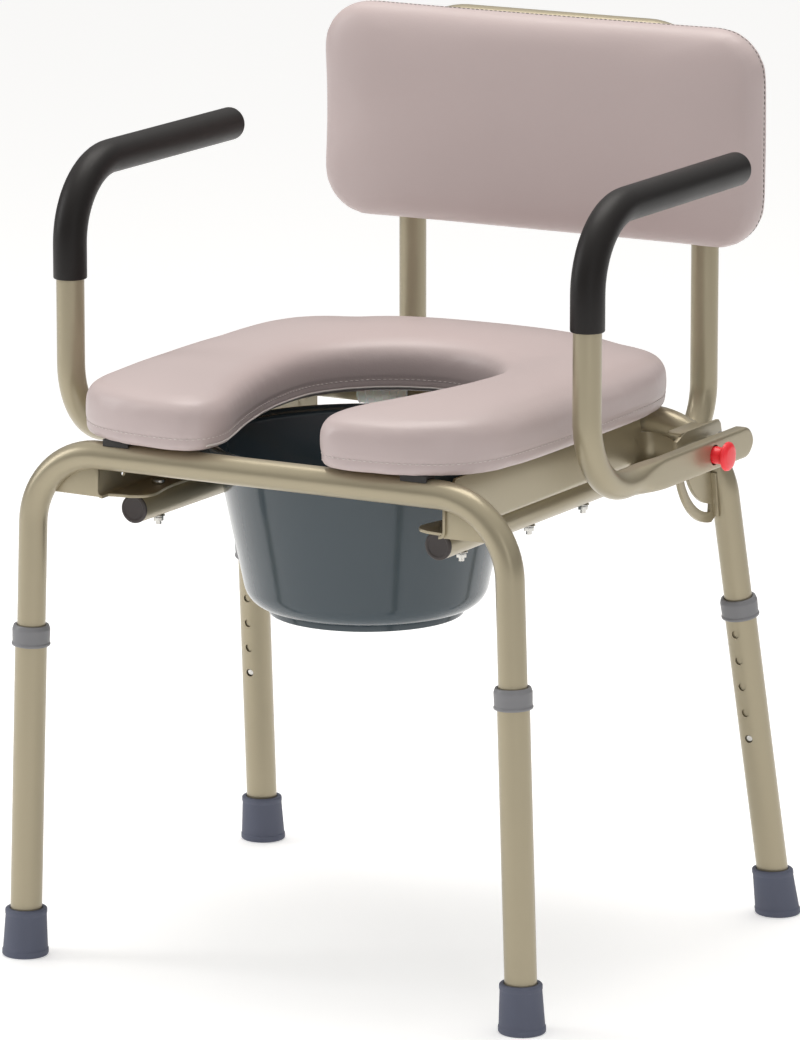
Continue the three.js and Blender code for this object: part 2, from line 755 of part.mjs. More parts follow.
// The flattened rear run of the arm, seen from the side: a bar with a round end about the pivot.
function flatRun(inset) {
  const half = ARM_FLAT.half - inset;
  const shape = new THREE.Shape();
  shape.moveTo(ARM_FLAT.front - 6 + inset, PIVOT.z - half);
  shape.lineTo(PIVOT.y, PIVOT.z - half);
  shape.absarc(PIVOT.y, PIVOT.z, half, -Math.PI / 2, Math.PI / 2, false);
  shape.lineTo(ARM_FLAT.front - 6 + inset, PIVOT.z + half);
  shape.closePath();
  return plateX(shape, ARM_FLAT.inner + inset, ARM_FLAT.outer - inset, 5);
}

function armTube() {
  const outer = join(sweep(armPath(ARM_TIP_Y), TUBE_R), flatRun(0));
  const boreR = TUBE_R - TUBE_WALL;
  const bore = sweep(armPath(ARM_TIP_Y + 2), boreR);
  const pinY = PIVOT.y - SLOT_R;
  const across = (y, from, to, r) => rod(r, point(from, y, PIVOT.z), point(to, y, PIVOT.z), 12);
  return cut(
    outer,
    bore,
    flatRun(TUBE_WALL),
    across(pinY, ARM_FLAT.inner - 2, ARM_FLAT.outer + 2, PIN_R + 0.5),
    across(PIVOT.y, ARM_FLAT.inner - 2, ARM_FLAT.inner + 4, PIVOT_BOLT_R + 0.5),
  );
}

function armGrip() {
  const path = new BentPath(
    [
      point(ARM_X, ARM_FRONT_Y, GRIP.low),
      point(ARM_X, ARM_FRONT_Y, ARM_TOP_Z),
      point(ARM_X, ARM_TIP_Y + 3, ARM_TOP_Z),
    ],
    BEND_R,
  );
  const dome = [
    [0, 0],
    [GRIP.r, 0],
    [GRIP.r, 3],
    [GRIP.r * 0.84, 6.5],
    [GRIP.r * 0.45, 8.4],
    [0, 9],
  ];
  const end = turned(dome, 16).rotateX(-Math.PI / 2).translate(ARM_X, GRIP.end - 9, ARM_TOP_Z);
  const bore = new BentPath(
    [
      point(ARM_X, ARM_FRONT_Y, GRIP.low - 5),
      point(ARM_X, ARM_FRONT_Y, ARM_TOP_Z),
      point(ARM_X, ARM_TIP_Y + GAP, ARM_TOP_Z),
    ],
    BEND_R,
  );
  return cut(join(sweep(path, GRIP.r), end), sweep(bore, GRIP.boreR));
}

const pinAt = (x) => point(x, PIVOT.y - SLOT_R, PIVOT.z);

function plungerBarrel() {
  const edge = ARM_FLAT.inner - GAP;
  return cut(
    rod(BARREL.r, pinAt(BARREL.inner), pinAt(edge), 14),
    rod(PIN_R + 0.5, pinAt(BARREL.inner - 1), pinAt(edge + 1), 12),
  );
}

// The pin, with the collar that the spring pushes on inside the arm.
function plungerPin() {
  return join(
    rod(PIN_R, pinAt(PIN_TIP_X), pinAt(KNOB.neckEnd - 6), 12),
    rod(5.4, pinAt(ARM_FLAT.inner + 1.9), pinAt(ARM_FLAT.inner + 3), 12),
  );
}

function plungerSpring() {
  const low = ARM_FLAT.inner + 3.3;
  const high = ARM_FLAT.outer - TUBE_WALL - GAP;
  return cut(
    rod(5.2, pinAt(low), pinAt(high), 12),
    rod(PIN_R + 0.5, pinAt(low - 1), pinAt(high + 1), 12),
  );
}

function releaseKnob() {
  const start = ARM_FLAT.outer + GAP;
  const { neckR, neckEnd, headR, end } = KNOB;
  const profile = [
    [PIN_R + 0.3, start],
    [neckR, start],
    [neckR, neckEnd - 0.5],
    [headR - 1, neckEnd],
    [headR, neckEnd + 1],
    [headR - 0.8, end - 2.4],
    [headR * 0.6, end - 0.6],
    [0, end],
    [0, neckEnd - 5.7],
    [PIN_R + 0.3, neckEnd - 5.7],
    [PIN_R + 0.3, start],
  ];
  return turned(profile, 16).rotateY(Math.PI / 2).translate(0, PIVOT.y - SLOT_R, PIVOT.z);
}

const armPieces = {
  arm_bracket: [armBracket(), paint],
  pivot_bolt: [pivotBolt(), steel],
  pivot_bush: [pivotBush(), greyPlastic],
  arm_tube: [armTube(), paint],
  arm_grip: [armGrip(), grip],
  plunger_barrel: [plungerBarrel(), steel],
  plunger_pin: [plungerPin(), steel],
  plunger_spring: [plungerSpring(), steel],
  release_knob: [releaseKnob(), redPlastic],
};
for (const [piece, [geometry, look]] of Object.entries(armPieces)) {
  for (const [name, side] of Object.entries(SIDES)) add(`${piece}_${name}`, sided(geometry, side), look);
}

export default chair;
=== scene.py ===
import math

import bmesh
import bpy
import numpy as np
from mathutils import Matrix, Vector
from mathutils.bvhtree import BVHTree


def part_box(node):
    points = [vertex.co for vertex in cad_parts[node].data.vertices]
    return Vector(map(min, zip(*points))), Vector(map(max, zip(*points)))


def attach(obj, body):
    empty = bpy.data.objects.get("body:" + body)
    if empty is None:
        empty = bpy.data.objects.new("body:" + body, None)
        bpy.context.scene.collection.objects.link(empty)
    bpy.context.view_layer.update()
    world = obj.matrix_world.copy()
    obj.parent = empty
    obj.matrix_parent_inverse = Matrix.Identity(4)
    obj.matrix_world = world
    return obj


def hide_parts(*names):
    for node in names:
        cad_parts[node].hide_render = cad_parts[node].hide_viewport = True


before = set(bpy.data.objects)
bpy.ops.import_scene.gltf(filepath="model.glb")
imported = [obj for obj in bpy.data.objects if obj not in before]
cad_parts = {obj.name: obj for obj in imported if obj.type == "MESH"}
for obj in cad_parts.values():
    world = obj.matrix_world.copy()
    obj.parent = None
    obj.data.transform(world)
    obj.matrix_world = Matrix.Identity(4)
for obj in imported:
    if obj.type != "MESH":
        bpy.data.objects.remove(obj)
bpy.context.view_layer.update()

# ---- Front leg frame ----
# One length of inch steel tube, bent into an upside-down U whose legs spread as they go down.
# It is powder coated in satin champagne, and each leg has a hole that the snap button shows through.

tube_r = 0.0127
tube_wall = 0.0015
bend_r = 0.070
crossbar_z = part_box("front_leg_frame")[1][2] - tube_r
front_leg = {"x": 0.2543, "y": -0.2634, "spread_x": 0.0333, "spread_y": 0.0}
leg_tube_end = 0.150
hole_r = 0.0038
hole_margin = 0.006
first_hole_z = 0.1745
sides = {"l": 1, "r": -1}


def leg_point(leg, z, side):
    return Vector((side * (leg["x"] - leg["spread_x"] * z), leg["y"] - leg["spread_y"] * z, z))


def leg_up(leg, side):
    return (leg_point(leg, 1, side) - leg_point(leg, 0, side)).normalized()


def button_way(leg, side):
    """The way the holes and the button face: square to the leg, inwards between front and rear."""
    inwards = Vector((0, 1 if leg["y"] < 0 else -1, 0))
    up = leg_up(leg, side)
    return (inwards - up * inwards.dot(up)).normalized()


def bent_path(corners, radius, steps=14):
    """Stations along straight runs joined by true arcs: a place and a direction at each."""
    corners = [Vector(corner) for corner in corners]
    stations = [(corners[0], (corners[1] - corners[0]).normalized())]
    for before, corner, after in zip(corners, corners[1:], corners[2:]):
        into = (corner - before).normalized()
        out = (after - corner).normalized()
        turn = into.angle(out)
        start = corner - into * radius * math.tan(turn / 2)
        side = (out - into * out.dot(into)).normalized()
        for k in range(steps + 1):
            a = turn * k / steps
            place = start + into * radius * math.sin(a) + side * radius * (1 - math.cos(a))
            stations.append((place, into * math.cos(a) + side * math.sin(a)))
    stations.append((corners[-1], (corners[-1] - corners[-2]).normalized()))
    return stations


def rings(stations, radii, count=40):
    """A ring of points round each station, carried along without twist."""
    across = stations[0][1].orthogonal().normalized()
    rows = []
    for (place, way), radius in zip(stations, radii):
        across = (across - way * across.dot(way)).normalized()
        up = way.cross(across)
        angles = [2 * math.pi * k / count for k in range(count)]
        rows.append([place + (across * math.cos(a) + up * math.sin(a)) * radius for a in angles])
    return rows


def skin(rows, closed=False):
    """A mesh over rows of points, its last row joined to its first if closed, else both ends filled."""
    bm = bmesh.new()
    made = [[bm.verts.new(p) for p in row] for row in rows]
    pairs = list(zip(made, made[1:]))
    if closed:
        pairs.append((made[-1], made[0]))
    for low, high in pairs:
        for k in range(len(low)):
            n = (k + 1) % len(low)
            bm.faces.new((low[k], low[n], high[n], high[k]))
    if not closed:
        bm.faces.new(made[0])
        bm.faces.new(made[-1])
    bmesh.ops.remove_doubles(bm, verts=bm.verts, dist=1e-6)
    bmesh.ops.dissolve_degenerate(bm, edges=bm.edges, dist=1e-7)
    bmesh.ops.recalc_face_normals(bm, faces=bm.faces)
    return bm


def hollow_tube(stations, radius, wall, count=40):
    outer = rings(stations, [radius] * len(stations), count)
    inner = rings(stations, [radius - wall] * len(stations), count)
    return skin(outer + inner[::-1], closed=True)


def shaded(mesh, smooth_below=35):
    """Smooths a mesh all over but for its sharp edges."""
    mesh.polygons.foreach_set("use_smooth", [True] * len(mesh.polygons))
    mesh.set_sharp_from_angle(angle=math.radians(smooth_below))


def new_object(name, bm, smooth_below=35):
    """Turns the bmesh into an object in the scene, smooth but for its sharp edges."""
    mesh = bpy.data.meshes.new(name)
    bm.to_mesh(mesh)
    bm.free()
    shaded(mesh, smooth_below)
    obj = bpy.data.objects.new(f"{name}_piece", mesh)
    bpy.context.scene.collection.objects.link(obj)
    return obj


def applied(obj):
    """Replaces the object's mesh with what its modifiers make of it."""
    bpy.context.view_layer.update()
    result = bpy.data.meshes.new_from_object(obj.evaluated_get(bpy.context.evaluated_depsgraph_get()))
    obj.modifiers.clear()
    obj.data = result
    return obj


def taken(obj):
    """The object's mesh as a bmesh, the object itself being taken out of the scene."""
    bm = bmesh.new()
    bm.from_mesh(obj.data)
    bpy.data.objects.remove(obj)
    return bm


def merged(*pieces):
    """Several closed shells in one bmesh."""
    whole = pieces[0]
    for piece in pieces[1:]:
        mesh = bpy.data.meshes.new("piece")
        piece.to_mesh(mesh)
        piece.free()
        whole.from_mesh(mesh)
        bpy.data.meshes.remove(mesh)
    return whole


def drill(obj, *tools):
    """Cuts the tools, each a bmesh, out of the object."""
    cutter = new_object("cutter", merged(*tools))
    modifier = obj.modifiers.new("drill", "BOOLEAN")
    modifier.operation = "DIFFERENCE"
    modifier.solver = "EXACT"
    modifier.object = cutter
    applied(obj)
    bpy.data.objects.remove(cutter)
    shaded(obj.data)
    return obj


def settle(obj, material, body, *nodes, slot=None):
    """Gives a finished piece its material and its body, and hides the nodes that it stands for; the slot is
    not used.
    """
    obj.data.materials.clear()
    obj.data.materials.append(material)
    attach(obj, body)
    if nodes:
        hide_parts(*nodes)
    return obj


def grain_group():
    """Fine grain and broad patches, for finishes that are never quite even."""
    group = bpy.data.node_groups.new("grain", "ShaderNodeTree")
    face = group.interface
    face.new_socket("Vector", in_out="INPUT", socket_type="NodeSocketVector")
    for name, value in (("Grain Scale", 900.0), ("Patch Scale", 9.0), ("Pebble Scale", 700.0)):
        face.new_socket(name, in_out="INPUT", socket_type="NodeSocketFloat").default_value = value
    for name in ("Grain", "Patches", "Pebbles", "Specks"):
        face.new_socket(name, in_out="OUTPUT", socket_type="NodeSocketFloat")
    nodes, links = group.nodes, group.links
    ins = nodes.new("NodeGroupInput")
    outs = nodes.new("NodeGroupOutput")
    for socket, scale, detail in (("Grain", "Grain Scale", 3.0), ("Patches", "Patch Scale", 4.0)):
        noise = nodes.new("ShaderNodeTexNoise")
        noise.inputs["Detail"].default_value = detail
        links.new(ins.outputs["Vector"], noise.inputs["Vector"])
        links.new(ins.outputs[scale], noise.inputs["Scale"])
        links.new(noise.outputs["Fac"], outs.inputs[socket])
    pebbles = nodes.new("ShaderNodeTexVoronoi")
    pebbles.feature = "SMOOTH_F1"
    specks = nodes.new("ShaderNodeTexVoronoi")
    for cells, socket in ((pebbles, "Pebbles"), (specks, "Specks")):
        links.new(ins.outputs["Vector"], cells.inputs["Vector"])
        links.new(ins.outputs["Pebble Scale"], cells.inputs["Scale"])
        links.new(cells.outputs["Distance"], outs.inputs[socket])
    return group


grain = grain_group()


def finish(name, color, roughness, shade=0.08, rough_swing=0.08, bump=0.0, grain_scale=900.0,
           patch_scale=9.0, pebble_scale=700.0, texture="Grain", bump_distance=0.0002, **sockets):
    """A Principled material whose colour and roughness drift a little, with a fine texture in its bump."""
    material = bpy.data.materials.new(f"{name}_finish")
    material.use_nodes = True
    nodes, links = material.node_tree.nodes, material.node_tree.links
    shader = nodes["Principled BSDF"]
    for socket, value in sockets.items():
        shader.inputs[socket.replace("_", " ")].default_value = value
    place = nodes.new("ShaderNodeTexCoord")
    surface = nodes.new("ShaderNodeGroup")
    surface.node_tree = grain
    links.new(place.outputs["Object"], surface.inputs["Vector"])
    surface.inputs["Grain Scale"].default_value = grain_scale
    surface.inputs["Patch Scale"].default_value = patch_scale
    surface.inputs["Pebble Scale"].default_value = pebble_scale
    tint = nodes.new("ShaderNodeMix")
    tint.data_type = "RGBA"
    tint.inputs["A"].default_value = (*[c * (1 - shade) for c in color], 1)
    tint.inputs["B"].default_value = (*[min(1, c * (1 + shade)) for c in color], 1)
    links.new(surface.outputs["Patches"], tint.inputs["Factor"])
    links.new(tint.outputs["Result"], shader.inputs["Base Color"])
    gloss = nodes.new("ShaderNodeMapRange")
    gloss.inputs["To Min"].default_value = roughness - rough_swing
    gloss.inputs["To Max"].default_value = roughness + rough_swing
    links.new(surface.outputs["Patches"], gloss.inputs["Value"])
    links.new(gloss.outputs["Result"], shader.inputs["Roughness"])
    relief = nodes.new("ShaderNodeBump")
    relief.inputs["Strength"].default_value = bump
    relief.inputs["Distance"].default_value = bump_distance
    links.new(surface.outputs[texture], relief.inputs["Height"])
    links.new(relief.outputs["Normal"], shader.inputs["Normal"])
    return material


frame_paint = finish("frame_paint", (0.375, 0.326, 0.224), 0.33, shade=0.05, rough_swing=0.05, bump=0.25,
                     grain_scale=650.0, patch_scale=14.0, Metallic=0.5, Coat_Weight=0.12, Coat_Roughness=0.3)


def rod(from_point, to_point, radius, count=24):
    """A round bar between two points, as a bmesh."""
    from_point = Vector(from_point)
    way = (Vector(to_point) - from_point).normalized()
    stations = [(from_point, way), (Vector(to_point), way)]
    return skin(rings(stations, [radius] * 2, count))


def button_drill(leg, side, z):
    """The tool that cuts one button hole through a leg's inward wall."""
    middle = leg_point(leg, z, side)
    way = button_way(leg, side)
    return rod(middle + way * 0.0045, middle + way * 0.020, hole_r)


def leg_frame(name, leg):
    top = [leg_point(leg, crossbar_z, side) for side in (-1, 1)]
    ends = [leg_point(leg, leg_tube_end, side) for side in (-1, 1)]
    path = bent_path([ends[0], *top, ends[1]], bend_r, 18)
    near = (first_hole_z - hole_margin, first_hole_z + hole_margin)
    first = [(leg_point(leg, z, -1), path[0][1]) for z in near]
    last = [(leg_point(leg, z, 1), path[-1][1]) for z in reversed(near)]
    path = [path[0], *first, *path[1:-1], *last, path[-1]]
    obj = new_object(name, hollow_tube(path, tube_r, tube_wall))
    drill(obj, *[button_drill(leg, side, first_hole_z) for side in (-1, 1)])
    return settle(obj, frame_paint, "chair_frame", name)


leg_frame("front_leg_frame", front_leg)

# ---- Rear leg frame ----
# The same bent tube with its legs raked back and out. Its crossbar carries the seat hinge,
# and its bends carry the arm brackets.

rear_leg = {"x": 0.2745, "y": 0.1945, "spread_x": 0.0626, "spread_y": 0.1637}
hinge_y = rear_leg["y"] - rear_leg["spread_y"] * crossbar_z
leg_frame("rear_leg_frame", rear_leg)
legs = {"front": front_leg, "rear": rear_leg}
each_leg = [(f"{end}_{mark}", leg, side) for end, leg in legs.items() for mark, side in sides.items()]

# ---- Leg sleeves ----
# Four lengths of inch-and-an-eighth tube slide on the legs. Five holes an inch apart down the
# inward side take the snap button, so each leg sets the seat at one of five heights.

sleeve_r = 0.0143
sleeve_wall = 0.001
sleeve_low = 0.012
sleeve_high = 0.303
hole_pitch = 0.0254
hole_count = 5


def leg_sleeve(name, leg, side, body):
    stretch = leg_point(leg, 0, side) - leg_point(leg, 1, side)
    holes = [first_hole_z + i * hole_pitch / stretch.length for i in range(hole_count)]
    up = leg_up(leg, side)
    beside = [z + step for z in holes for step in (-hole_margin, hole_margin)]
    heights = sorted([sleeve_low, sleeve_high, *beside])
    stations = [(leg_point(leg, z, side), up) for z in heights]
    obj = new_object(name, hollow_tube(stations, sleeve_r, sleeve_wall))
    drill(obj, *[button_drill(leg, side, z) for z in holes])
    settle(obj, frame_paint, body, name)


for which, leg, side in each_leg:
    leg_sleeve(f"leg_sleeve_{which}", leg, side, f"leg_{which}")

# ---- Leg collars ----
# A grey nylon collar grips the top of each sleeve and closes the step down to the thinner tube.
# It is moulded with a rolled lower edge and a fine parting line.

collar_r = 0.017
collar_skirt = 0.016
collar_lip = 0.003
touch_gap = 0.0003

collar_plastic = finish("collar_plastic", (0.205, 0.205, 0.215), 0.42, shade=0.06, bump=0.15,
                        patch_scale=30.0)


def lathe(profile, count=48):
    """A profile of (radius, height) pairs turned about +Z, from axis to axis or closed on itself."""
    stations = [(Vector((0, 0, z)), Vector((0, 0, 1))) for _, z in profile]
    on_axis = profile[0][0] == 0
    rows = rings(stations, [max(r, 1e-9) for r, _ in profile], count)
    return skin(rows, closed=not on_axis)


def rounded(profile, radius=0.0006, steps=3, closed=False):
    """The profile with every corner that is off the axis eased by a small curve."""
    eased = []
    count = len(profile)
    for i, (r, z) in enumerate(profile):
        at = Vector((r, z))
        if not closed and i in (0, count - 1):
            eased.append((r, z))
            continue
        before = Vector(profile[i - 1]) - at
        after = Vector(profile[(i + 1) % count]) - at
        reach = min(radius, before.length * 0.45, after.length * 0.45)
        if r == 0 or before.angle(after, 0) > math.radians(170):
            eased.append((r, z))
            continue
        start, end = at + before.normalized() * reach, at + after.normalized() * reach
        for k in range(steps + 1):
            t = k / steps
            p = start * (1 - t) ** 2 + at * 2 * t * (1 - t) + end * t ** 2
            eased.append((p.x, p.y))
    return eased


def moved(bm, matrix):
    bmesh.ops.transform(bm, matrix=matrix, verts=bm.verts)
    return bm


def along_leg(leg, side):
    """The matrix that carries a piece turned about +Z onto the leg's own axis."""
    turn = Vector((0, 0, 1)).rotation_difference(leg_up(leg, side)).to_matrix().to_4x4()
    return Matrix.Translation(leg_point(leg, 0, side)) @ turn


def collar(name, leg, side, body):
    shelf = sleeve_high * (leg_point(leg, 1, side) - leg_point(leg, 0, side)).length + touch_gap
    low, high = shelf - collar_skirt, shelf + collar_lip
    lip, bore = tube_r + 0.0004, sleeve_r + 0.0003
    bead = collar_r + 0.0004
    profile = [
        (bore, low),
        (bead - 0.0006, low),
        (bead, low + 0.001),
        (bead, low + 0.0022),
        (collar_r - 0.0003, low + 0.0034),
        (collar_r, shelf - 0.001),
        (collar_r - 0.0014, high),
        (lip, high),
        (lip, shelf),
        (bore, shelf),
    ]
    obj = new_object(name, moved(lathe(rounded(profile, closed=True)), along_leg(leg, side)))
    settle(obj, collar_plastic, body, name)


for which, leg, side in each_leg:
    collar(f"leg_collar_{which}", leg, side, f"leg_{which}")

# ---- Leg feet ----
# Blue-grey rubber tips pushed over the sleeves. The wall leans with its leg while the sole lies
# flat on the floor, with two moulded tread grooves.

foot_height = 0.044
foot_rubber = finish("foot_rubber", (0.088, 0.098, 0.142), 0.62, shade=0.12, bump=0.5, grain_scale=500.0,
                     patch_scale=22.0, bump_distance=0.0003)


def foot(name, leg, side, body):
    bottom_r, top_r, pocket_r = 0.021, 0.0183, 0.0148
    tread = []
    for groove_r in (0.007, 0.013):
        tread += [(groove_r, 0), (groove_r, 0.0014), (groove_r + 0.002, 0.0014), (groove_r + 0.002, 0)]
    profile = [
        (0, 0),
        *tread,
        (bottom_r - 0.0012, 0),
        (bottom_r, 0.0014),
        (bottom_r, 0.0058),
        (bottom_r - 0.0007, 0.0068),
        (top_r + 0.0003, foot_height - 0.0058),
        (top_r + 0.0007, foot_height - 0.0048),
        (top_r + 0.0007, foot_height - 0.0012),
        (top_r - 0.0004, foot_height),
        (pocket_r, foot_height),
        (pocket_r, 0.008),
        (0, 0.008),
    ]
    lean = Matrix.Translation((side * leg["x"], leg["y"], 0))
    lean[0][2] = -side * leg["spread_x"]
    lean[1][2] = -leg["spread_y"]
    obj = new_object(name, moved(lathe(rounded(profile)), lean))
    settle(obj, foot_rubber, body, name)


for which, leg, side in each_leg:
    foot(f"leg_foot_{which}", leg, side, f"leg_{which}")

# ---- Snap buttons ----
# A sprung steel button inside each leg tube stands out through the lowest hole. Pressed in,
# it frees the sleeve.

steel = finish("steel", (0.60, 0.59, 0.56), 0.24, shade=0.10, rough_swing=0.08, bump=0.1, patch_scale=60.0,
               Metallic=1.0)


def snap_button(name, leg, side, body):
    pin_r, flange_r = 0.0032, 0.0048
    inner, shoulder, tip = 0.0076, 0.0092, 0.0131
    dome = [(pin_r * math.cos(a), tip - 0.0006 + 0.0006 * math.sin(a)) for a in
            [math.radians(d) for d in (0, 18, 36, 54, 72)]]
    profile = [(0, inner), (flange_r, inner), (flange_r, shoulder), (pin_r, shoulder), *dome, (0, tip)]
    turn = Vector((0, 0, 1)).rotation_difference(button_way(leg, side)).to_matrix().to_4x4()
    place = Matrix.Translation(leg_point(leg, first_hole_z, side)) @ turn
    obj = new_object(name, moved(lathe(rounded(profile, 0.0003), 28), place))
    settle(obj, steel, body, name)


for which, leg, side in each_leg:
    snap_button(f"snap_button_{which}", leg, side, f"button_{which}")

# ---- Back frame ----
# One long bent tube makes both side tubes under the seat, the two back posts and the top bar
# that the back rest is bolted to. Grey-brown plastic plugs close its two front ends.

side_x = 0.154
side_z = 0.4149
side_front_y = -0.232
post_y = 0.2717
side_bend_r = 0.058
back_top_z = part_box("back_frame")[1][2] - tube_r

corners = [(-side_x, side_front_y, side_z), (-side_x, post_y, side_z), (-side_x, post_y, back_top_z)]
corners += [(-x, y, z) for x, y, z in reversed(corners)]
back_frame = new_object("back_frame", hollow_tube(bent_path(corners, side_bend_r, 16), tube_r, tube_wall))
settle(back_frame, frame_paint, "chair_frame", "back_frame")

cap_plastic = finish("cap_plastic", (0.046, 0.037, 0.036), 0.5, shade=0.2, bump=0.3, grain_scale=350.0,
                     patch_scale=40.0)


def tube_cap(name, side):
    face_r, face, plug_r = 0.0128, 0.003, tube_r - tube_wall - 0.0003
    profile = [(0, -0.012), (plug_r, -0.012), (plug_r, 0.0002), (face_r, 0.0002), (face_r, face - 0.0009)]
    profile += [(face_r - 0.0011, face - 0.0001), (face_r - 0.0028, face), (face_r - 0.0034, face - 0.0006)]
    profile += [(0, face - 0.0006)]
    turn = Matrix.Rotation(math.radians(90), 4, "X")
    place = Matrix.Translation((side * side_x, side_front_y, side_z)) @ turn
    obj = new_object(name, moved(lathe(rounded(profile, 0.0004)), place))
    settle(obj, cap_plastic, "chair_frame", name)


for mark, side in sides.items():
    tube_cap(f"back_frame_cap_{mark}", side)

# ---- Side rails ----
# Folded steel sheet joins the front and rear leg frames on each side: an upright web, a flange
# turned in under it that is bolted down to the side tube, and gussets welded under both crossbars.

sheet = 0.0025
web_x = 0.1765
rail_low = 0.428
rail_top = 0.478
under_bar = 0.4542


def plate(outlines, low, high, square_to, edge=0.0005):
    """A flat plate from closed outlines, the first its edge and the others its holes, with eased edges."""
    curve = bpy.data.curves.new("plate", "CURVE")
    curve.dimensions = "2D"
    curve.fill_mode = "BOTH"
    curve.extrude = (high - low) / 2 - edge
    curve.bevel_depth = edge
    curve.bevel_resolution = 1
    curve.offset = -edge
    for outline in outlines:
        spline = curve.splines.new("POLY")
        spline.points.add(len(outline) - 1)
        spline.use_cyclic_u = True
        for at, (a, b) in zip(spline.points, outline):
            at.co = (a, b, 0, 1)
    flat = bpy.data.objects.new("plate", curve)
    bpy.context.scene.collection.objects.link(flat)
    bpy.context.view_layer.update()
    mesh = bpy.data.meshes.new_from_object(flat.evaluated_get(bpy.context.evaluated_depsgraph_get()))
    bm = bmesh.new()
    bm.from_mesh(mesh)
    bpy.data.objects.remove(flat)
    bpy.data.meshes.remove(mesh)
    bmesh.ops.remove_doubles(bm, verts=bm.verts, dist=2e-5)
    middle = (low + high) / 2
    rows = {
        "X": ((0, 0, 1, middle), (1, 0, 0, 0), (0, 1, 0, 0), (0, 0, 0, 1)),
        "Y": ((1, 0, 0, 0), (0, 0, -1, middle), (0, 1, 0, 0), (0, 0, 0, 1)),
        "Z": ((1, 0, 0, 0), (0, 1, 0, 0), (0, 0, 1, middle), (0, 0, 0, 1)),
    }
    moved(bm, Matrix(rows[square_to]))
    bmesh.ops.recalc_face_normals(bm, faces=bm.faces)
    return bm


def mirror_to(bm, side):
    """The +X piece as it stands, or its mirror image with its faces turned back outwards."""
    if side < 0:
        moved(bm, Matrix.Scale(-1, 4, (1, 0, 0)))
        bmesh.ops.reverse_faces(bm, faces=bm.faces)
    return bm


def between(keys, at):
    """The value at a place along (place, value) keys, in straight lines."""
    for (a, low), (b, high) in zip(keys, keys[1:]):
        if at <= b:
            return low + (high - low) * (at - a) / (b - a)
    return keys[-1][1]


def eased_edges(obj, width, corner=40):
    """Applies a small bevel to every edge that turns by more than the corner angle."""
    edges = obj.modifiers.new("edges", "BEVEL")
    edges.width = width
    edges.segments = 2
    edges.limit_method = "ANGLE"
    edges.angle_limit = math.radians(corner)
    applied(obj)
    shaded(obj.data)
    return obj


def thickened(bm):
    """An object with the sheet's thickness about a bent surface, and eased edges."""
    obj = new_object("sheet", bm, 60)
    thick = obj.modifiers.new("thick", "SOLIDIFY")
    thick.thickness = sheet
    thick.offset = 0
    return eased_edges(obj, 0.0006, 50)


def rail_sheet():
    """The web and flange as one folded sheet, cut away under the crossbars and rounded in front."""
    bar_front = front_leg["y"] + tube_r + 0.001
    bar_rear = hinge_y - tube_r - 0.001
    top_edge = [(-0.262, under_bar), (bar_front - 0.0002, under_bar), (bar_front, under_bar + 0.006),
                (bar_front + 0.004, rail_top - 0.004), (bar_front + 0.007, rail_top),
                (bar_rear - 0.009, rail_top), (bar_rear - 0.004, rail_top - 0.004),
                (bar_rear - 0.0002, under_bar), (0.126, under_bar - 0.0004)]
    inner_edge = [(-0.262, web_x - 0.002), (-0.2515, web_x - 0.006), (-0.250, 0.166), (-0.2475, 0.150),
                  (-0.244, 0.142), (-0.238, 0.1372), (-0.230, 0.1352), (-0.222, 0.136), (-0.205, 0.140),
                  (-0.185, 0.142), (0.100, 0.142), (0.102, 0.172), (0.126, web_x - 0.002)]
    stations = sorted({y for y, _ in top_edge} | {y for y, _ in inner_edge})
    fold_r = 0.005
    x_mid, z_mid = web_x - sheet / 2, rail_low + sheet / 2
    bm = bmesh.new()
    rows = []
    for y in stations:
        inner = min(between(inner_edge, y), x_mid - fold_r - 0.0004)
        row = [(inner + (x_mid - fold_r - inner) * t, z_mid) for t in (0, 0.5, 1)]
        for k in range(1, 5):
            a = math.radians(90 * k / 4)
            row.append((x_mid - fold_r + fold_r * math.sin(a), z_mid + fold_r * (1 - math.cos(a))))
        top = between(top_edge, y)
        row += [(x_mid, z_mid + fold_r + (top - z_mid - fold_r) * t) for t in (0.5, 1)]
        rows.append([bm.verts.new((x, y, z)) for x, z in row])
    for low, high in zip(rows, rows[1:]):
        for k in range(len(low) - 1):
            bm.faces.new((low[k], low[k + 1], high[k + 1], high[k]))
    obj = thickened(bm)
    screw_hole = Vector((web_x - 0.006, -0.2186, 0.443))
    drill(obj, rod(screw_hole, screw_hole + Vector((0.012, 0, 0)), 0.0032))
    bm = taken(obj)
    bmesh.ops.recalc_face_normals(bm, faces=bm.faces)
    return bm


def bent_gusset(corner_y, wide, low, top, outer_low):
    """A gusset that runs on from the web round an easy bend and out under the leg's own bend."""
    bend = 0.012
    x_mid = web_x - sheet / 2
    plan = [(x_mid, corner_y - bend - 0.010), (x_mid, corner_y - bend)]
    plan += [(x_mid + bend - bend * math.cos(a), corner_y - bend + bend * math.sin(a)) for a in
             [math.radians(d) for d in (15, 30, 45, 60, 75, 90)]]
    plan += [(x_mid + bend + (wide - bend) * t, corner_y) for t in (0.25, 0.5, 0.75, 1)]
    bm = bmesh.new()
    rows = []
    for x, y in plan:
        reach = max(0, x - x_mid - bend) / (wide - bend)
        high = top + (outer_low - top) * reach ** 1.6
        rows.append([bm.verts.new((x, y, low + (high - low) * t)) for t in (0, 0.5, 1)])
    for a, b in zip(rows, rows[1:]):
        for k in range(2):
            bm.faces.new((a[k], b[k], b[k + 1], a[k + 1]))
    bm = taken(thickened(bm))
    bmesh.ops.recalc_face_normals(bm, faces=bm.faces)
    return bm


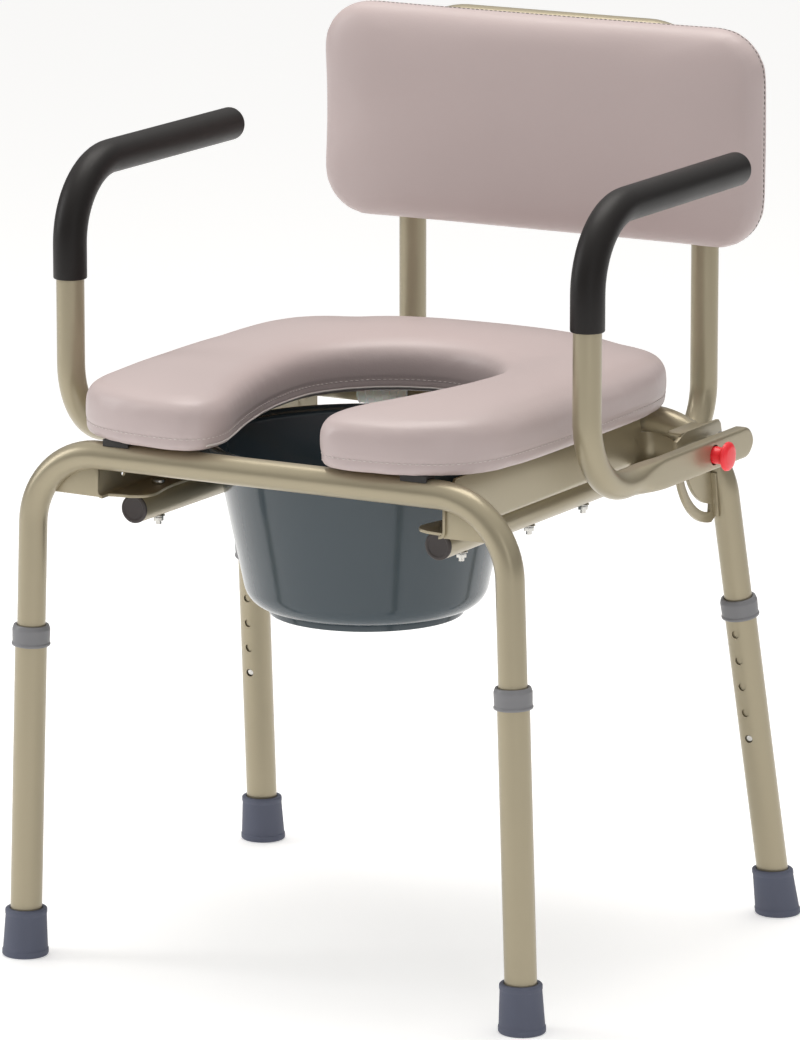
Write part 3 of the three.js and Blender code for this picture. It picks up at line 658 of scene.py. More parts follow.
def side_rail(name, side):
    front_y = front_leg["y"] + 0.003
    front_gusset = [(web_x - sheet, rail_low + 0.0005), (0.222, rail_low + 0.001), (0.226, 0.452)]
    front_gusset += [(web_x - sheet, 0.462)]
    lip = [(web_x - sheet, 0.086), (0.186, 0.094), (0.212, 0.099), (0.222, 0.104), (0.228, 0.1115)]
    lip += [(web_x - sheet, 0.1115)]
    whole = merged(
        rail_sheet(),
        plate([front_gusset], front_y, front_y + sheet, "Y"),
        plate([lip], rail_low, rail_low + sheet, "Z"),
        bent_gusset(0.1115, 0.056, rail_low + 0.0004, 0.4575, 0.434),
    )
    obj = new_object(name, mirror_to(whole, side))
    settle(obj, frame_paint, "chair_frame", name)


for mark, side in sides.items():
    side_rail(f"side_rail_{mark}", side)

# ---- Rail bolts ----
# Three zinc-plated bolts a side clamp the flange to the side tube, with a nut and washer under
# the tube. One tree makes them all from a point at each bolt.


def tree_with(name, values):
    """An empty geometry tree: a geometry, a material and named values in, and a geometry out."""
    tree = bpy.data.node_groups.new(name, "GeometryNodeTree")
    face = tree.interface
    face.new_socket("Geometry", in_out="INPUT", socket_type="NodeSocketGeometry")
    face.new_socket("Material", in_out="INPUT", socket_type="NodeSocketMaterial")
    for label, value in values.items():
        kind = "NodeSocketInt" if isinstance(value, int) else "NodeSocketFloat"
        face.new_socket(label, in_out="INPUT", socket_type=kind).default_value = value
    face.new_socket("Geometry", in_out="OUTPUT", socket_type="NodeSocketGeometry")
    return tree, tree.nodes.new("NodeGroupInput"), tree.nodes.new("NodeGroupOutput")


def finish_tree(tree, ins, outs, instances):
    """Ends a tree: instances made real, with the tree's material set on them."""
    real = tree.nodes.new("GeometryNodeRealizeInstances")
    paint = tree.nodes.new("GeometryNodeSetMaterial")
    tree.links.new(instances, real.inputs["Geometry"])
    tree.links.new(real.outputs["Geometry"], paint.inputs["Geometry"])
    tree.links.new(ins.outputs["Material"], paint.inputs["Material"])
    tree.links.new(paint.outputs["Geometry"], outs.inputs["Geometry"])


def grown(name, tree, mesh, values, material):
    """Runs a tree on a mesh of points or edges, and keeps the result as a plain mesh."""
    obj = bpy.data.objects.new(name, mesh)
    bpy.context.scene.collection.objects.link(obj)
    modifier = obj.modifiers.new("tree", "NODES")
    modifier.node_group = tree
    values = {**values, "Material": material}
    for item in tree.interface.items_tree:
        if item.in_out == "INPUT" and item.name in values:
            modifier[item.identifier] = values[item.name]
    applied(obj)
    bm = bmesh.new()
    bm.from_mesh(obj.data)
    bmesh.ops.remove_doubles(bm, verts=bm.verts, dist=1e-7)
    bm.to_mesh(obj.data)
    bm.free()
    shaded(obj.data)
    return obj


def points_mesh(name, points, joined=False):
    """A mesh of loose points, or of one closed chain of edges."""
    mesh = bpy.data.meshes.new(name)
    chain = [(i, (i + 1) % len(points)) for i in range(len(points))] if joined else []
    mesh.from_pydata([tuple(p) for p in points], chain, [])
    return mesh


bolt_parts = ("Head", "Shank", "Washer", "Nut")
bolt_measures = {"Radius": 0.003, "Depth": 0.003, "Height": 0.0, "Sides": 24}


def bolt_tree():
    """At each point: a stack of cylinders, each with a radius, a depth, a height and a number of sides."""
    values = {f"{part} {label}": value for part in bolt_parts for label, value in bolt_measures.items()}
    tree, ins, outs = tree_with("bolt", values)
    nodes, links = tree.nodes, tree.links
    stack_join = nodes.new("GeometryNodeJoinGeometry")
    for part in bolt_parts:
        body = nodes.new("GeometryNodeMeshCylinder")
        shift = nodes.new("ShaderNodeCombineXYZ")
        place = nodes.new("GeometryNodeTransform")
        links.new(ins.outputs[f"{part} Radius"], body.inputs["Radius"])
        links.new(ins.outputs[f"{part} Depth"], body.inputs["Depth"])
        links.new(ins.outputs[f"{part} Sides"], body.inputs["Vertices"])
        links.new(ins.outputs[f"{part} Height"], shift.inputs["Z"])
        links.new(shift.outputs["Vector"], place.inputs["Translation"])
        links.new(body.outputs["Mesh"], place.inputs["Geometry"])
        links.new(place.outputs["Geometry"], stack_join.inputs["Geometry"])
    spread = nodes.new("GeometryNodeInstanceOnPoints")
    links.new(ins.outputs["Geometry"], spread.inputs["Points"])
    links.new(stack_join.outputs["Geometry"], spread.inputs["Instance"])
    finish_tree(tree, ins, outs, spread.outputs["Instances"])
    return tree


def bolt_sizes(*parts):
    """The bolt tree's values, from the radius, depth, height and sides of each part in turn."""
    return {f"{part} {label}": value for part, sizes in zip(bolt_parts, parts)
            for label, value in zip(bolt_measures, sizes)}


rail_bolts_y = (-0.192, -0.068, 0.034)
bolt_points = [(side * side_x, y, side_z) for side in sides.values() for y in rail_bolts_y]
head_z, nut_z = 0.0178, -0.0157
bolts = bolt_tree()
rail_bolts = grown("rail_bolts", bolts, points_mesh("rail_bolts", bolt_points), bolt_sizes(
    (0.0060, 0.0034, head_z, 24),
    (0.0026, 0.0365, -0.0031, 16),
    (0.0059, 0.0009, nut_z + 0.0026, 28),
    (0.0050, 0.0044, nut_z, 6),
), steel)
eased_edges(rail_bolts, 0.0003)
bolt_nodes = [f"rail_bolt_{mark}_{i}" for mark in sides for i in (1, 2, 3)]
settle(rail_bolts, steel, "chair_frame", *bolt_nodes)

# ---- Pail ring ----
# A flat steel ring with two straps across it, welded between the rail webs. The pail hangs in it
# by its skirted rim.

pail_x, pail_y = -0.008, -0.074
ring_r = 0.152
ring_hole_r = 0.138
ring_low, ring_high = 0.446, 0.4487
strap_y, strap_half = 0.060, 0.022


def arc(centre, radius, start, end, steps):
    """Points along an arc, its angles in degrees."""
    angles = [math.radians(start + (end - start) * k / steps) for k in range(steps + 1)]
    return [(centre[0] + radius * math.cos(a), centre[1] + radius * math.sin(a)) for a in angles]


def ring_outline():
    """The ring's edge, with the ends of its two straps standing out on each side."""
    centre = (0, pail_y)
    edge = web_x - sheet - touch_gap
    far, near = strap_y + strap_half, strap_y - strap_half
    far_at, near_at = [math.degrees(math.asin(y / ring_r)) for y in (far, near)]
    outline = arc(centre, ring_r, -near_at, near_at, 8)
    outline += [(edge, pail_y + near), (edge, pail_y + far)]
    outline += arc(centre, ring_r, far_at, 180 - far_at, 36)
    outline += [(-edge, pail_y + far), (-edge, pail_y + near)]
    outline += arc(centre, ring_r, 180 - near_at, 180 + near_at, 8)
    outline += [(-edge, pail_y - near), (-edge, pail_y - far)]
    outline += arc(centre, ring_r, 180 + far_at, 360 - far_at, 36)
    outline += [(edge, pail_y - far), (edge, pail_y - near)]
    return outline


ring_hole = arc((pail_x, pail_y), ring_hole_r, 0, 355, 71)
pail_ring = new_object("pail_ring", plate([ring_outline(), ring_hole], ring_low, ring_high, "Z"))
settle(pail_ring, frame_paint, "chair_frame", "pail_ring")

# ---- Pail ----
# A glossy blue-grey moulded pail with an easy lower corner, a foot ring, and a skirted rim
# that rolls over the ring. It lifts straight out.

pail_plastic = finish("pail_plastic", (0.050, 0.070, 0.084), 0.15, shade=0.05, rough_swing=0.03, bump=0.12,
                      grain_scale=120.0, patch_scale=7.0, bump_distance=0.0006, Coat_Weight=0.15,
                      Coat_Roughness=0.06, Specular_IOR_Level=0.42)


def pail_profile():
    bottom, bottom_r, lean, fillet, wall = 0.3135, 0.106, 0.206, 0.024, 0.0025
    top, rim_r, skirt = 0.468, 0.149, 0.4492
    foot_low, foot_r, foot_wide = 0.3075, 0.088, 0.005
    slant = math.atan(lean)
    centre_r = bottom_r + lean * fillet - fillet * math.hypot(1, lean)
    turns = [-math.pi / 2 + (math.pi / 2 - slant) * k / 10 for k in range(11)]
    outer, inner = [
        [(centre_r + r * math.cos(a), bottom + fillet + r * math.sin(a)) for a in turns]
        for r in (fillet, fillet - wall)
    ]
    wall_r = bottom_r + lean * (top - bottom)
    return [
        (0, bottom + 0.0012),
        (foot_r - foot_wide - 0.002, bottom + 0.0012),
        (foot_r - foot_wide, bottom),
        (foot_r - foot_wide, foot_low),
        (foot_r, foot_low),
        (foot_r, bottom),
        *outer,
        (wall_r - lean * 0.0042, top - 0.0042),
        (rim_r - 0.0025, top - 0.0038),
        (rim_r - 0.0022, skirt),
        (rim_r, skirt),
        (rim_r, top - 0.004),
        (rim_r - 0.0012, top - 0.001),
        (rim_r - 0.004, top),
        (rim_r - 0.0065, top - 0.0004),
        (rim_r - 0.0082, top - 0.0028),
        (wall_r - lean * 0.007 - wall + 0.0015, top - 0.0036),
        (wall_r - lean * 0.009 - wall, top - 0.0062),
        *inner[::-1],
        (0, bottom + wall),
    ]


pail_turned = lathe(rounded(pail_profile(), 0.0012), 96)
pail = new_object("pail", moved(pail_turned, Matrix.Translation((pail_x, pail_y, 0))))
settle(pail, pail_plastic, "pail", "pail")

# ---- Seat board ----
# Plywood cut to the seat's plan, open at the front, with its well cut through. The vinyl is
# drawn round its edge.

seat_low = 0.4843
board_thick = 0.006
plywood = finish("board", (0.30, 0.205, 0.12), 0.6, shade=0.25, bump=0.3, grain_scale=220.0, patch_scale=26.0)


def bezier(p0, p1, p2, p3, steps):
    """Points along a cubic curve, without its first."""
    points = []
    for k in range(1, steps + 1):
        t = k / steps
        shares = ((1 - t) ** 3, 3 * t * (1 - t) ** 2, 3 * t * t * (1 - t), t ** 3)
        points.append(tuple(sum(share * p[i] for share, p in zip(shares, (p0, p1, p2, p3))) for i in (0, 1)))
    return points


seat_half, seat_front, seat_rear = 0.213, -0.285, 0.176
seat_mouth, seat_well, well_y = 0.054, 0.100, -0.042


def seat_halves(grow=0.0, steps=14):
    """The +X half of the seat's plan: its outer edge from the mouth to the back, and its well's edge."""
    wide, front, rear = seat_half + grow, seat_front - grow, seat_rear + grow
    mouth, well = seat_mouth - grow, seat_well - grow
    start = (mouth + 0.036, front)
    corner = (0.153 + grow, 0.150 + grow)
    outer = [start]
    outer += bezier(start, (0.162, front), (wide - 0.008, -0.264), (wide - 0.004, -0.196), steps)
    outer += bezier(outer[-1], (wide, -0.150), (wide + 0.003, -0.040), (wide - 0.003, 0.050), steps)
    outer += bezier(outer[-1], (wide - 0.006, 0.102), (0.189 + grow, 0.137 + grow), corner, steps)
    outer += bezier(outer[-1], (0.104, rear - 0.004), (0.050, rear), (0.0, rear), steps)
    inner = arc((0, well_y), well, 90, 0, steps * 2)
    inner += bezier(inner[-1], (well, -0.110), (mouth + 0.022, -0.180), (mouth + 0.004, -0.232), steps)
    inner += bezier(inner[-1], (mouth - 0.003, -0.268), (mouth + 0.008, front), start, steps)
    return outer, inner


def seat_plan(grow=0.0, steps=14):
    """The whole plan as one closed outline."""
    outer, inner = seat_halves(grow, steps)
    right = inner[:-1] + outer[:-1]
    left = [(-x, y) for x, y in inner[1:-1] + outer][::-1]
    return right + left


seat_board = new_object("seat_board", plate([seat_plan(-0.014)], seat_low, seat_low + board_thick, "Z"))
settle(seat_board, plywood, "seat", "seat_board")

# ---- Hinge clips ----
# Two milky nylon saddles under the board snap over the rear crossbar, so the seat hinges up on
# the bar. Fine ribs run round each.

clip_plastic = finish("clip_plastic", (0.72, 0.70, 0.66), 0.35, shade=0.05, bump=0.15, patch_scale=40.0,
                      Subsurface_Weight=0.35, Subsurface_Scale=0.004)
clip_x, clip_wide = 0.0925, 0.053
clip_bore_r, clip_r = 0.0132, 0.0158


def clip_outline(radius):
    """The saddle from the side: round the bar but for its mouth below, and flat on top."""
    centre = (hinge_y, crossbar_z)
    top = seat_low - touch_gap
    outline = arc(centre, radius, 309, 360, 10)
    outline += [(hinge_y + radius, top), (hinge_y - radius, top)]
    outline += arc(centre, radius, 180, 231, 10)
    outline += arc(centre, clip_bore_r, 231, -51, 40)
    return outline


def rib_tree():
    """Copies of one rib in a row along X."""
    tree, ins, outs = tree_with("ribs", {"Count": 6, "Pitch": 0.01})
    line = tree.nodes.new("GeometryNodeMeshLine")
    step = tree.nodes.new("ShaderNodeCombineXYZ")
    spread = tree.nodes.new("GeometryNodeInstanceOnPoints")
    tree.links.new(ins.outputs["Count"], line.inputs["Count"])
    tree.links.new(ins.outputs["Pitch"], step.inputs["X"])
    tree.links.new(step.outputs["Vector"], line.inputs["Offset"])
    tree.links.new(line.outputs["Mesh"], spread.inputs["Points"])
    tree.links.new(ins.outputs["Geometry"], spread.inputs["Instance"])
    finish_tree(tree, ins, outs, spread.outputs["Instances"])
    return tree


ribs = rib_tree()
rib_count, rib_wide = 7, 0.0016
for mark, side in sides.items():
    low_x = side * clip_x - clip_wide / 2
    saddle = plate([clip_outline(clip_r)], low_x, low_x + clip_wide, "X")
    rib = new_object("rib", plate([clip_outline(clip_r + 0.0006)], low_x, low_x + rib_wide, "X", 0.0003))
    rib_row = grown(f"ribs_{mark}", ribs, rib.data, {
        "Count": rib_count,
        "Pitch": (clip_wide - rib_wide) / (rib_count - 1),
    }, clip_plastic)
    bpy.data.objects.remove(rib)
    clip = new_object(f"hinge_clip_{mark}", merged(saddle, taken(rib_row)))
    settle(clip, clip_plastic, "seat", f"hinge_clip_{mark}")

# ---- Seat bumpers ----
# Two rubber pads under the front of the board, hollowed to sit on the front crossbar. Their near-black
# colour is painted shade, standing in for the shadow under the seat's front edge.

# Near-black rubber: painted shade for the dark line under the seat front.
shade_dark_bumper_rubber = finish("shade_dark_bumper_rubber", (0.030, 0.028, 0.027), 0.7, shade=0.1, bump=0.2)
bumper_x, bumper_wide, bumper_deep = 0.150, 0.026, 0.016


def seat_bumper(name, side):
    centre = (front_leg["y"], crossbar_z)
    top = seat_low - touch_gap
    saddle_r = tube_r + 0.0004
    half = math.degrees(math.asin(bumper_deep / 2 / saddle_r))
    outline = [(centre[0] + bumper_deep / 2, top), (centre[0] - bumper_deep / 2, top)]
    outline += arc(centre, saddle_r, 90 + half, 90 - half, 12)
    low_x = side * bumper_x - bumper_wide / 2
    obj = new_object(name, plate([outline], low_x, low_x + bumper_wide, "X", 0.0006))
    settle(obj, shade_dark_bumper_rubber, "seat", name, slot="foot_rubber")


for mark, side in sides.items():
    seat_bumper(f"seat_bumper_{mark}", side)

# ---- Seat cushion ----
# A foam seat under pinkish-beige vinyl, stuffed tight, so its top crowns and its lobes are round
# at the mouth. A stitched seam runs round it just above its lower edge.

vinyl = finish("vinyl", (0.520, 0.428, 0.418), 0.40, shade=0.035, rough_swing=0.05, bump=0.28,
               patch_scale=7.0, pebble_scale=620.0, texture="Pebbles", bump_distance=0.00025,
               Sheen_Weight=0.08, Specular_IOR_Level=0.5)
thread = finish("thread", (0.66, 0.60, 0.575), 0.7, shade=0.2, bump=0.4, grain_scale=2500.0)
voxel = 0.005
sim_frames = 20
pressure = 4.0
calm_rounds = 60
crease_share = 0.06


def stuffed(name, shell, held, most):
    """The shell remeshed and blown up by cloth pressure, no point moving further than most."""
    obj = new_object(name, shell)
    remesh = obj.modifiers.new("remesh", "REMESH")
    remesh.mode = "VOXEL"
    remesh.voxel_size = voxel
    applied(obj)
    smooth = obj.modifiers.new("smooth", "SMOOTH")
    smooth.factor = 0.5
    smooth.iterations = 6
    applied(obj)
    rest = [v.co.copy() for v in obj.data.vertices]
    fixed = obj.vertex_groups.new(name="held")
    fixed.add([v.index for v in obj.data.vertices if held(v.co)], 1.0, "REPLACE")
    cloth = obj.modifiers.new("cloth", "CLOTH")
    cloth.settings.quality = 5
    cloth.settings.mass = 0.3
    cloth.settings.tension_stiffness = 12
    cloth.settings.compression_stiffness = 12
    cloth.settings.bending_stiffness = 2.0
    cloth.settings.vertex_group_mass = "held"
    cloth.settings.use_pressure = True
    cloth.settings.uniform_pressure_force = pressure
    cloth.settings.effector_weights.gravity = 0
    for frame_number in range(1, sim_frames + 1):
        bpy.context.scene.frame_set(frame_number)
    applied(obj)
    bpy.context.scene.frame_set(1)
    obj.vertex_groups.clear()
    shifts = []
    for vertex, start in zip(obj.data.vertices, rest):
        shift = vertex.co - start
        shifts.append(shift * min(1, most / max(shift.length, 1e-9)))
    swell = np.array(shifts)
    creases = swell.copy()
    ends = np.array([edge.vertices for edge in obj.data.edges])
    links = np.bincount(ends.ravel(), minlength=len(swell))[:, None]
    for _ in range(calm_rounds):
        around = np.zeros_like(swell)
        np.add.at(around, ends[:, 0], swell[ends[:, 1]])
        np.add.at(around, ends[:, 1], swell[ends[:, 0]])
        swell = (swell + around / links) / 2
    swell += (creases - swell) * crease_share
    for vertex, start, shift in zip(obj.data.vertices, rest, swell):
        vertex.co = start + Vector(shift)
    finer = obj.modifiers.new("finer", "SUBSURF")
    finer.levels = finer.render_levels = 1
    applied(obj)
    obj.data.polygons.foreach_set("use_smooth", [True] * len(obj.data.polygons))
    return obj


def shell_of(rows):
    """A closed shell over outlines stacked one above the other."""
    return skin([[Vector(p) for p in row] for row in rows])


def seam_line(obj, path, lift=0.0):
    """The path laid on the object's surface, and the way out at each point."""
    bm = bmesh.new()
    bm.from_mesh(obj.data)
    surface = BVHTree.FromBMesh(bm)
    bm.free()
    laid = []
    for p in path:
        place, out, _, _ = surface.find_nearest(Vector(p))
        laid.append(place + out * lift)
    return laid


def draw_in(obj, line, depth, reach):
    """Pulls the surface in along a line, as a tight seam does."""
    bm = bmesh.new()
    bm.from_mesh(obj.data)
    bm.normal_update()
    grid = {}
    for p in line:
        grid.setdefault(tuple(round(c / reach) for c in p), []).append(p)
    for vertex in bm.verts:
        cell = [round(c / reach) for c in vertex.co]
        near = [p for i in (-1, 0, 1) for j in (-1, 0, 1) for k in (-1, 0, 1)
                for p in grid.get((cell[0] + i, cell[1] + j, cell[2] + k), ())]
        if near:
            gap = min((vertex.co - p).length for p in near)
            vertex.co -= vertex.normal * depth * math.exp(-((gap / reach * 1.6) ** 2))
    bm.to_mesh(obj.data)
    bm.free()


def evenly(path, pitch):
    """Points along a closed path at about the pitch."""
    path = [Vector(p) for p in path]
    spans = [(b - a).length for a, b in zip(path, path[1:] + path[:1])]
    count = round(sum(spans) / pitch)
    spaced = []
    walked, i = 0.0, 0
    for k in range(count):
        goal = sum(spans) * k / count
        while walked + spans[i] < goal:
            walked += spans[i]
            i += 1
        t = (goal - walked) / spans[i]
        spaced.append(path[i].lerp(path[(i + 1) % len(path)], t))
    return spaced


def stitch_tree():
    """Short round-ended stitches in a row along a closed line."""
    tree, ins, outs = tree_with("stitches", {"Pitch": 0.005, "Length": 0.003, "Thickness": 0.0004})
    nodes, links = tree.nodes, tree.links
    curve = nodes.new("GeometryNodeMeshToCurve")
    spaced = nodes.new("GeometryNodeResampleCurve")
    spaced.mode = "LENGTH"
    tangent = nodes.new("GeometryNodeInputTangent")
    align = nodes.new("FunctionNodeAlignRotationToVector")
    align.axis = "Z"
    stitch = nodes.new("GeometryNodeMeshUVSphere")
    stitch.inputs["Segments"].default_value = 8
    stitch.inputs["Rings"].default_value = 6
    stitch.inputs["Radius"].default_value = 0.5
    size = nodes.new("ShaderNodeCombineXYZ")
    spread = nodes.new("GeometryNodeInstanceOnPoints")
    links.new(ins.outputs["Geometry"], curve.inputs["Mesh"])
    links.new(curve.outputs["Curve"], spaced.inputs["Curve"])
    links.new(ins.outputs["Pitch"], spaced.inputs["Length"])
    links.new(spaced.outputs["Curve"], spread.inputs["Points"])
    links.new(stitch.outputs["Mesh"], spread.inputs["Instance"])
    links.new(tangent.outputs["Tangent"], align.inputs["Vector"])
    links.new(align.outputs["Rotation"], spread.inputs["Rotation"])
    for axis in "XY":
        links.new(ins.outputs["Thickness"], size.inputs[axis])
    links.new(ins.outputs["Length"], size.inputs["Z"])
    links.new(size.outputs["Vector"], spread.inputs["Scale"])
    finish_tree(tree, ins, outs, spread.outputs["Instances"])
    return tree


stitches = stitch_tree()
seam_z = 0.4945
seat_rows = [(0.4880, -0.0205), (0.4850, -0.0190), (0.4826, -0.0150), (0.4822, -0.0060), (0.4828, -0.0005),
             (0.4866, 0.0014), (0.4925, 0.0016), (0.4970, 0.0020), (0.5060, 0.0028), (0.5150, 0.0024),
             (0.5212, 0.0000), (0.5256, -0.0042), (0.5286, -0.0100), (0.5302, -0.0175), (0.5308, -0.0260)]
seat_shell = shell_of([[(x, y, z) for x, y in seat_plan(grow)] for z, grow in seat_rows])
seat_cushion = stuffed("seat_cushion", seat_shell, lambda p: p.z < seam_z - 0.001, 0.006)
seat_path = evenly([(x, y, seam_z) for x, y in seat_plan(0.0010)], 0.002)
seat_line = seam_line(seat_cushion, seat_path)
draw_in(seat_cushion, seat_line, 0.0009, 0.0035)
settle(seat_cushion, vinyl, "seat", "seat_cushion")

well_z = 0.4872
well_edge = [(x, y, well_z) for x, y in seat_halves(0.0012)[1][:-8]]
well_edge = [(-x, y, z) for x, y, z in well_edge[:0:-1]] + well_edge
well_line = seam_line(seat_cushion, well_edge, 0.0003)
ways = [(b - a).normalized() for a, b in zip(well_line, well_line[1:])]
cord = rings(list(zip(well_line, ways + ways[-1:])), [0.0009] * len(well_line), 10)
piping = new_object("seat_piping", skin(cord))
# Piping cord in vinyl lighter than the seat's: partly the cord itself, partly a painted highlight for the
# glint along the well's lower seam.
piping_glint_vinyl = finish("piping", (0.66, 0.61, 0.58), 0.4, shade=0.04, bump=0.1)
settle(piping, piping_glint_vinyl, "seat", slot="vinyl")

seat_seam = seam_line(seat_cushion, seat_path, 0.0003)
seat_stitches = grown("seat_stitches", stitches, points_mesh("seat_stitches", seat_seam, True), {
    "Pitch": 0.0052,
    "Length": 0.0034,
    "Thickness": 0.0009,
}, thread)
settle(seat_stitches, thread, "seat", slot="vinyl")

# ---- Back panel ----
# A plywood panel behind the back cushion. Four screws through the back posts hold it, each with
# a low domed head and a washer.

panel_low, panel_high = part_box("back_panel")
pad_low, pad_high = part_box("back_cushion")


def rounded_box(inset, corner, steps=10):
    """The back rest's outline, drawn in by the inset."""
    half = pad_high[0] - inset
    low, high = pad_low[2] + inset, pad_high[2] - inset
    r = corner - inset
    outline = arc((half - r, high - r), r, 0, 90, steps)
    outline += arc((-half + r, high - r), r, 90, 180, steps)
    outline += arc((-half + r, low + r), r, 180, 270, steps)
    outline += arc((half - r, low + r), r, 270, 360, steps)
    return outline


pad_corner = 0.048
panel_inset = 0.010
panel_plate = plate([rounded_box(panel_inset, pad_corner)], panel_low[1], panel_high[1], "Y")
back_panel = new_object("back_panel", panel_plate)
settle(back_panel, plywood, "chair_frame", "back_panel")

# Points are laid out flat and stood up, so that each screw runs forwards through its post.
screw_rows = (0.650, 0.765)
screw_points = [(side * side_x, -z, 0) for side in sides.values() for z in screw_rows]
post_back = post_y + tube_r
screws = grown("panel_screws", bolts, points_mesh("panel_screws", screw_points), bolt_sizes(
    (0.0052, 0.0024, post_back + 0.0016, 28),
    (0.0024, 0.0300, post_back - 0.0145, 16),
    (0.0068, 0.0008, post_back + 0.0003, 28),
    (0.0038, 0.0022, post_back + 0.0024, 28),
), steel)
eased_edges(screws, 0.0005)
screws.data.transform(Matrix.Rotation(math.radians(-90), 4, "X"))
settle(screws, steel, "chair_frame")

# ---- Back cushion ----
# Foam under the same vinyl. Its front is one crowned sheet, joined to the strip that wraps to the
# rear by a stitched seam near the back edge. Its near-black thread carries painted shade for the seam's
# shadow.

back_rows = [(0.2518, 0.0050), (0.2508, 0.0012), (0.2480, -0.0004), (0.2440, -0.0010), (0.2400, -0.0014),
             (0.2350, -0.0014), (0.2305, -0.0002), (0.2272, 0.0028), (0.2248, 0.0072), (0.2232, 0.0125),
             (0.2222, 0.0195)]
pad_seam_y = 0.2440
back_shell = shell_of([[(x, y, z) for x, z in rounded_box(inset, pad_corner)] for y, inset in back_rows])
back_cushion = stuffed("back_cushion", back_shell, lambda p: p.y > pad_seam_y + 0.003, 0.0055)
pad_path = evenly([(x, pad_seam_y, z) for x, z in rounded_box(-0.0006, pad_corner)], 0.002)
draw_in(back_cushion, seam_line(back_cushion, pad_path), 0.0010, 0.0035)
settle(back_cushion, vinyl, "chair_frame", "back_cushion")

# Near-black thread: partly the thread's own colour, partly painted shade for the seam's contact shadow.
seam_shade_thread = finish("seam_shade_thread", (0.10, 0.095, 0.085), 0.7, shade=0.2, bump=0.4, grain_scale=2500.0)
pad_seam = seam_line(back_cushion, pad_path, 0.0001)
pad_stitches = grown("back_stitches", stitches, points_mesh("back_stitches", pad_seam, True), {
    "Pitch": 0.0048,
    "Length": 0.0034,
    "Thickness": 0.0010,
}, seam_shade_thread)
settle(pad_stitches, seam_shade_thread, "chair_frame", slot="vinyl")

# ---- Arm brackets ----
# A pressed steel quadrant welded inside each rear bend. Its curved slot takes the release pin,
# its edge is folded out along the leg, and its top is folded in for stiffness.

pivot_y, pivot_z = 0.1181, 0.455
plate_in, plate_out = 0.240, 0.2435
plate_r = 0.0755
slot_r, slot_half = 0.062, 0.0039
drop_degrees = 80


def leg_front(z):
    """Where the front of the rear leg's tube stands at a height."""
    lean = rear_leg["spread_y"]
    return rear_leg["y"] - lean * z - tube_r * math.hypot(1, lean)


def arm_bracket(name, side):
    pivot = (pivot_y, pivot_z)
    low = pivot_z - plate_r
    slot_start, slot_end = 176.5, 180 + drop_degrees + 3.5
    outline = arc(pivot, plate_r, 172, 266, 32)
    outline += [(pivot_y + 0.006, low + 0.006), (pivot_y + 0.012, pivot_z - 0.010)]
    outline += [(pivot_y + y, pivot_z + z) for y, z in ((0.014, 0.006), (0.012, 0.013), (0.008, 0.017))]
    outline += [(pivot_y - y, pivot_z + z) for y, z in ((0.056, 0.017), (0.062, 0.0155), (0.068, 0.013))]
    slot = arc(pivot, slot_r + slot_half, slot_start, slot_end, 30)
    slot += arc(pivot, slot_r - slot_half, slot_end, slot_start, 30)
    fold_low, fold_high, fold_thick = 0.385, 0.426, 0.0026
    fold = [(leg_front(fold_low) - fold_thick, fold_low), (leg_front(fold_low), fold_low)]
    fold += [(leg_front(fold_high), fold_high), (leg_front(fold_high) - fold_thick, fold_high)]
    top_fold = [(plate_in - 0.013, 0.058), (plate_in - 0.009, 0.053), (plate_out - 0.0005, 0.052)]
    top_fold += [(plate_out - 0.0005, 0.104), (plate_in - 0.013, 0.104)]
    whole = merged(
        plate([outline, slot], plate_in, plate_out, "X"),
        plate([fold], plate_in, 0.249, "X"),
        plate([top_fold], pivot_z + 0.0140, pivot_z + 0.0169, "Z"),
    )
    obj = new_object(name, mirror_to(whole, side))
    settle(obj, frame_paint, "chair_frame", name)


for mark, side in sides.items():
    arm_bracket(f"arm_bracket_{mark}", side)

# ---- Arm pivots ----
# A shouldered bolt through the bracket carries each arm, with a nylon bush between them.

flat_in, flat_out = 0.262, 0.275


def across_at(profile, y, side, count=32):
    """A profile of (radius, x) pairs turned about the line along X at that y, on one side of the chair."""
    turned = lathe(rounded(profile, 0.0004, closed=profile[0][0] != 0), count)
    moved(turned, Matrix.Translation((0, y, pivot_z)) @ Matrix.Rotation(math.radians(90), 4, "Y"))
    return mirror_to(turned, side)


bolt_profile = [(0, plate_in + 0.0015), (0.0035, plate_in + 0.0015), (0.0035, flat_in + 0.0024),
                (0.0068, flat_in + 0.0024), (0.0068, flat_in + 0.0070), (0, flat_in + 0.0070)]
bush_bore, bush_r, bush_in = 0.0040, 0.0078, 0.248
bush_profile = [(bush_bore, bush_in), (bush_r, bush_in), (bush_r, flat_in - touch_gap),
                (bush_bore, flat_in - touch_gap)]
for mark, side in sides.items():
    pivot_bolt = new_object(f"pivot_bolt_{mark}", across_at(bolt_profile, pivot_y, side))
    settle(pivot_bolt, steel, "chair_frame", f"pivot_bolt_{mark}")
    pivot_bush = new_object(f"pivot_bush_{mark}", across_at(bush_profile, pivot_y, side))
    settle(pivot_bush, collar_plastic, "chair_frame", f"pivot_bush_{mark}")

# ---- Arm tubes ----
# Each arm is the same inch tube, bent into a C. Its lower run is pressed flat, rounded off about
# the pivot, and drilled for the release pin.

arm_x = 0.262
arm_front_y = -0.1639
arm_top_z = 0.703
arm_tip_y = 0.117
flat_half = 0.014
press_start, press_end = -0.085, -0.030
pin_y = pivot_y - slot_r


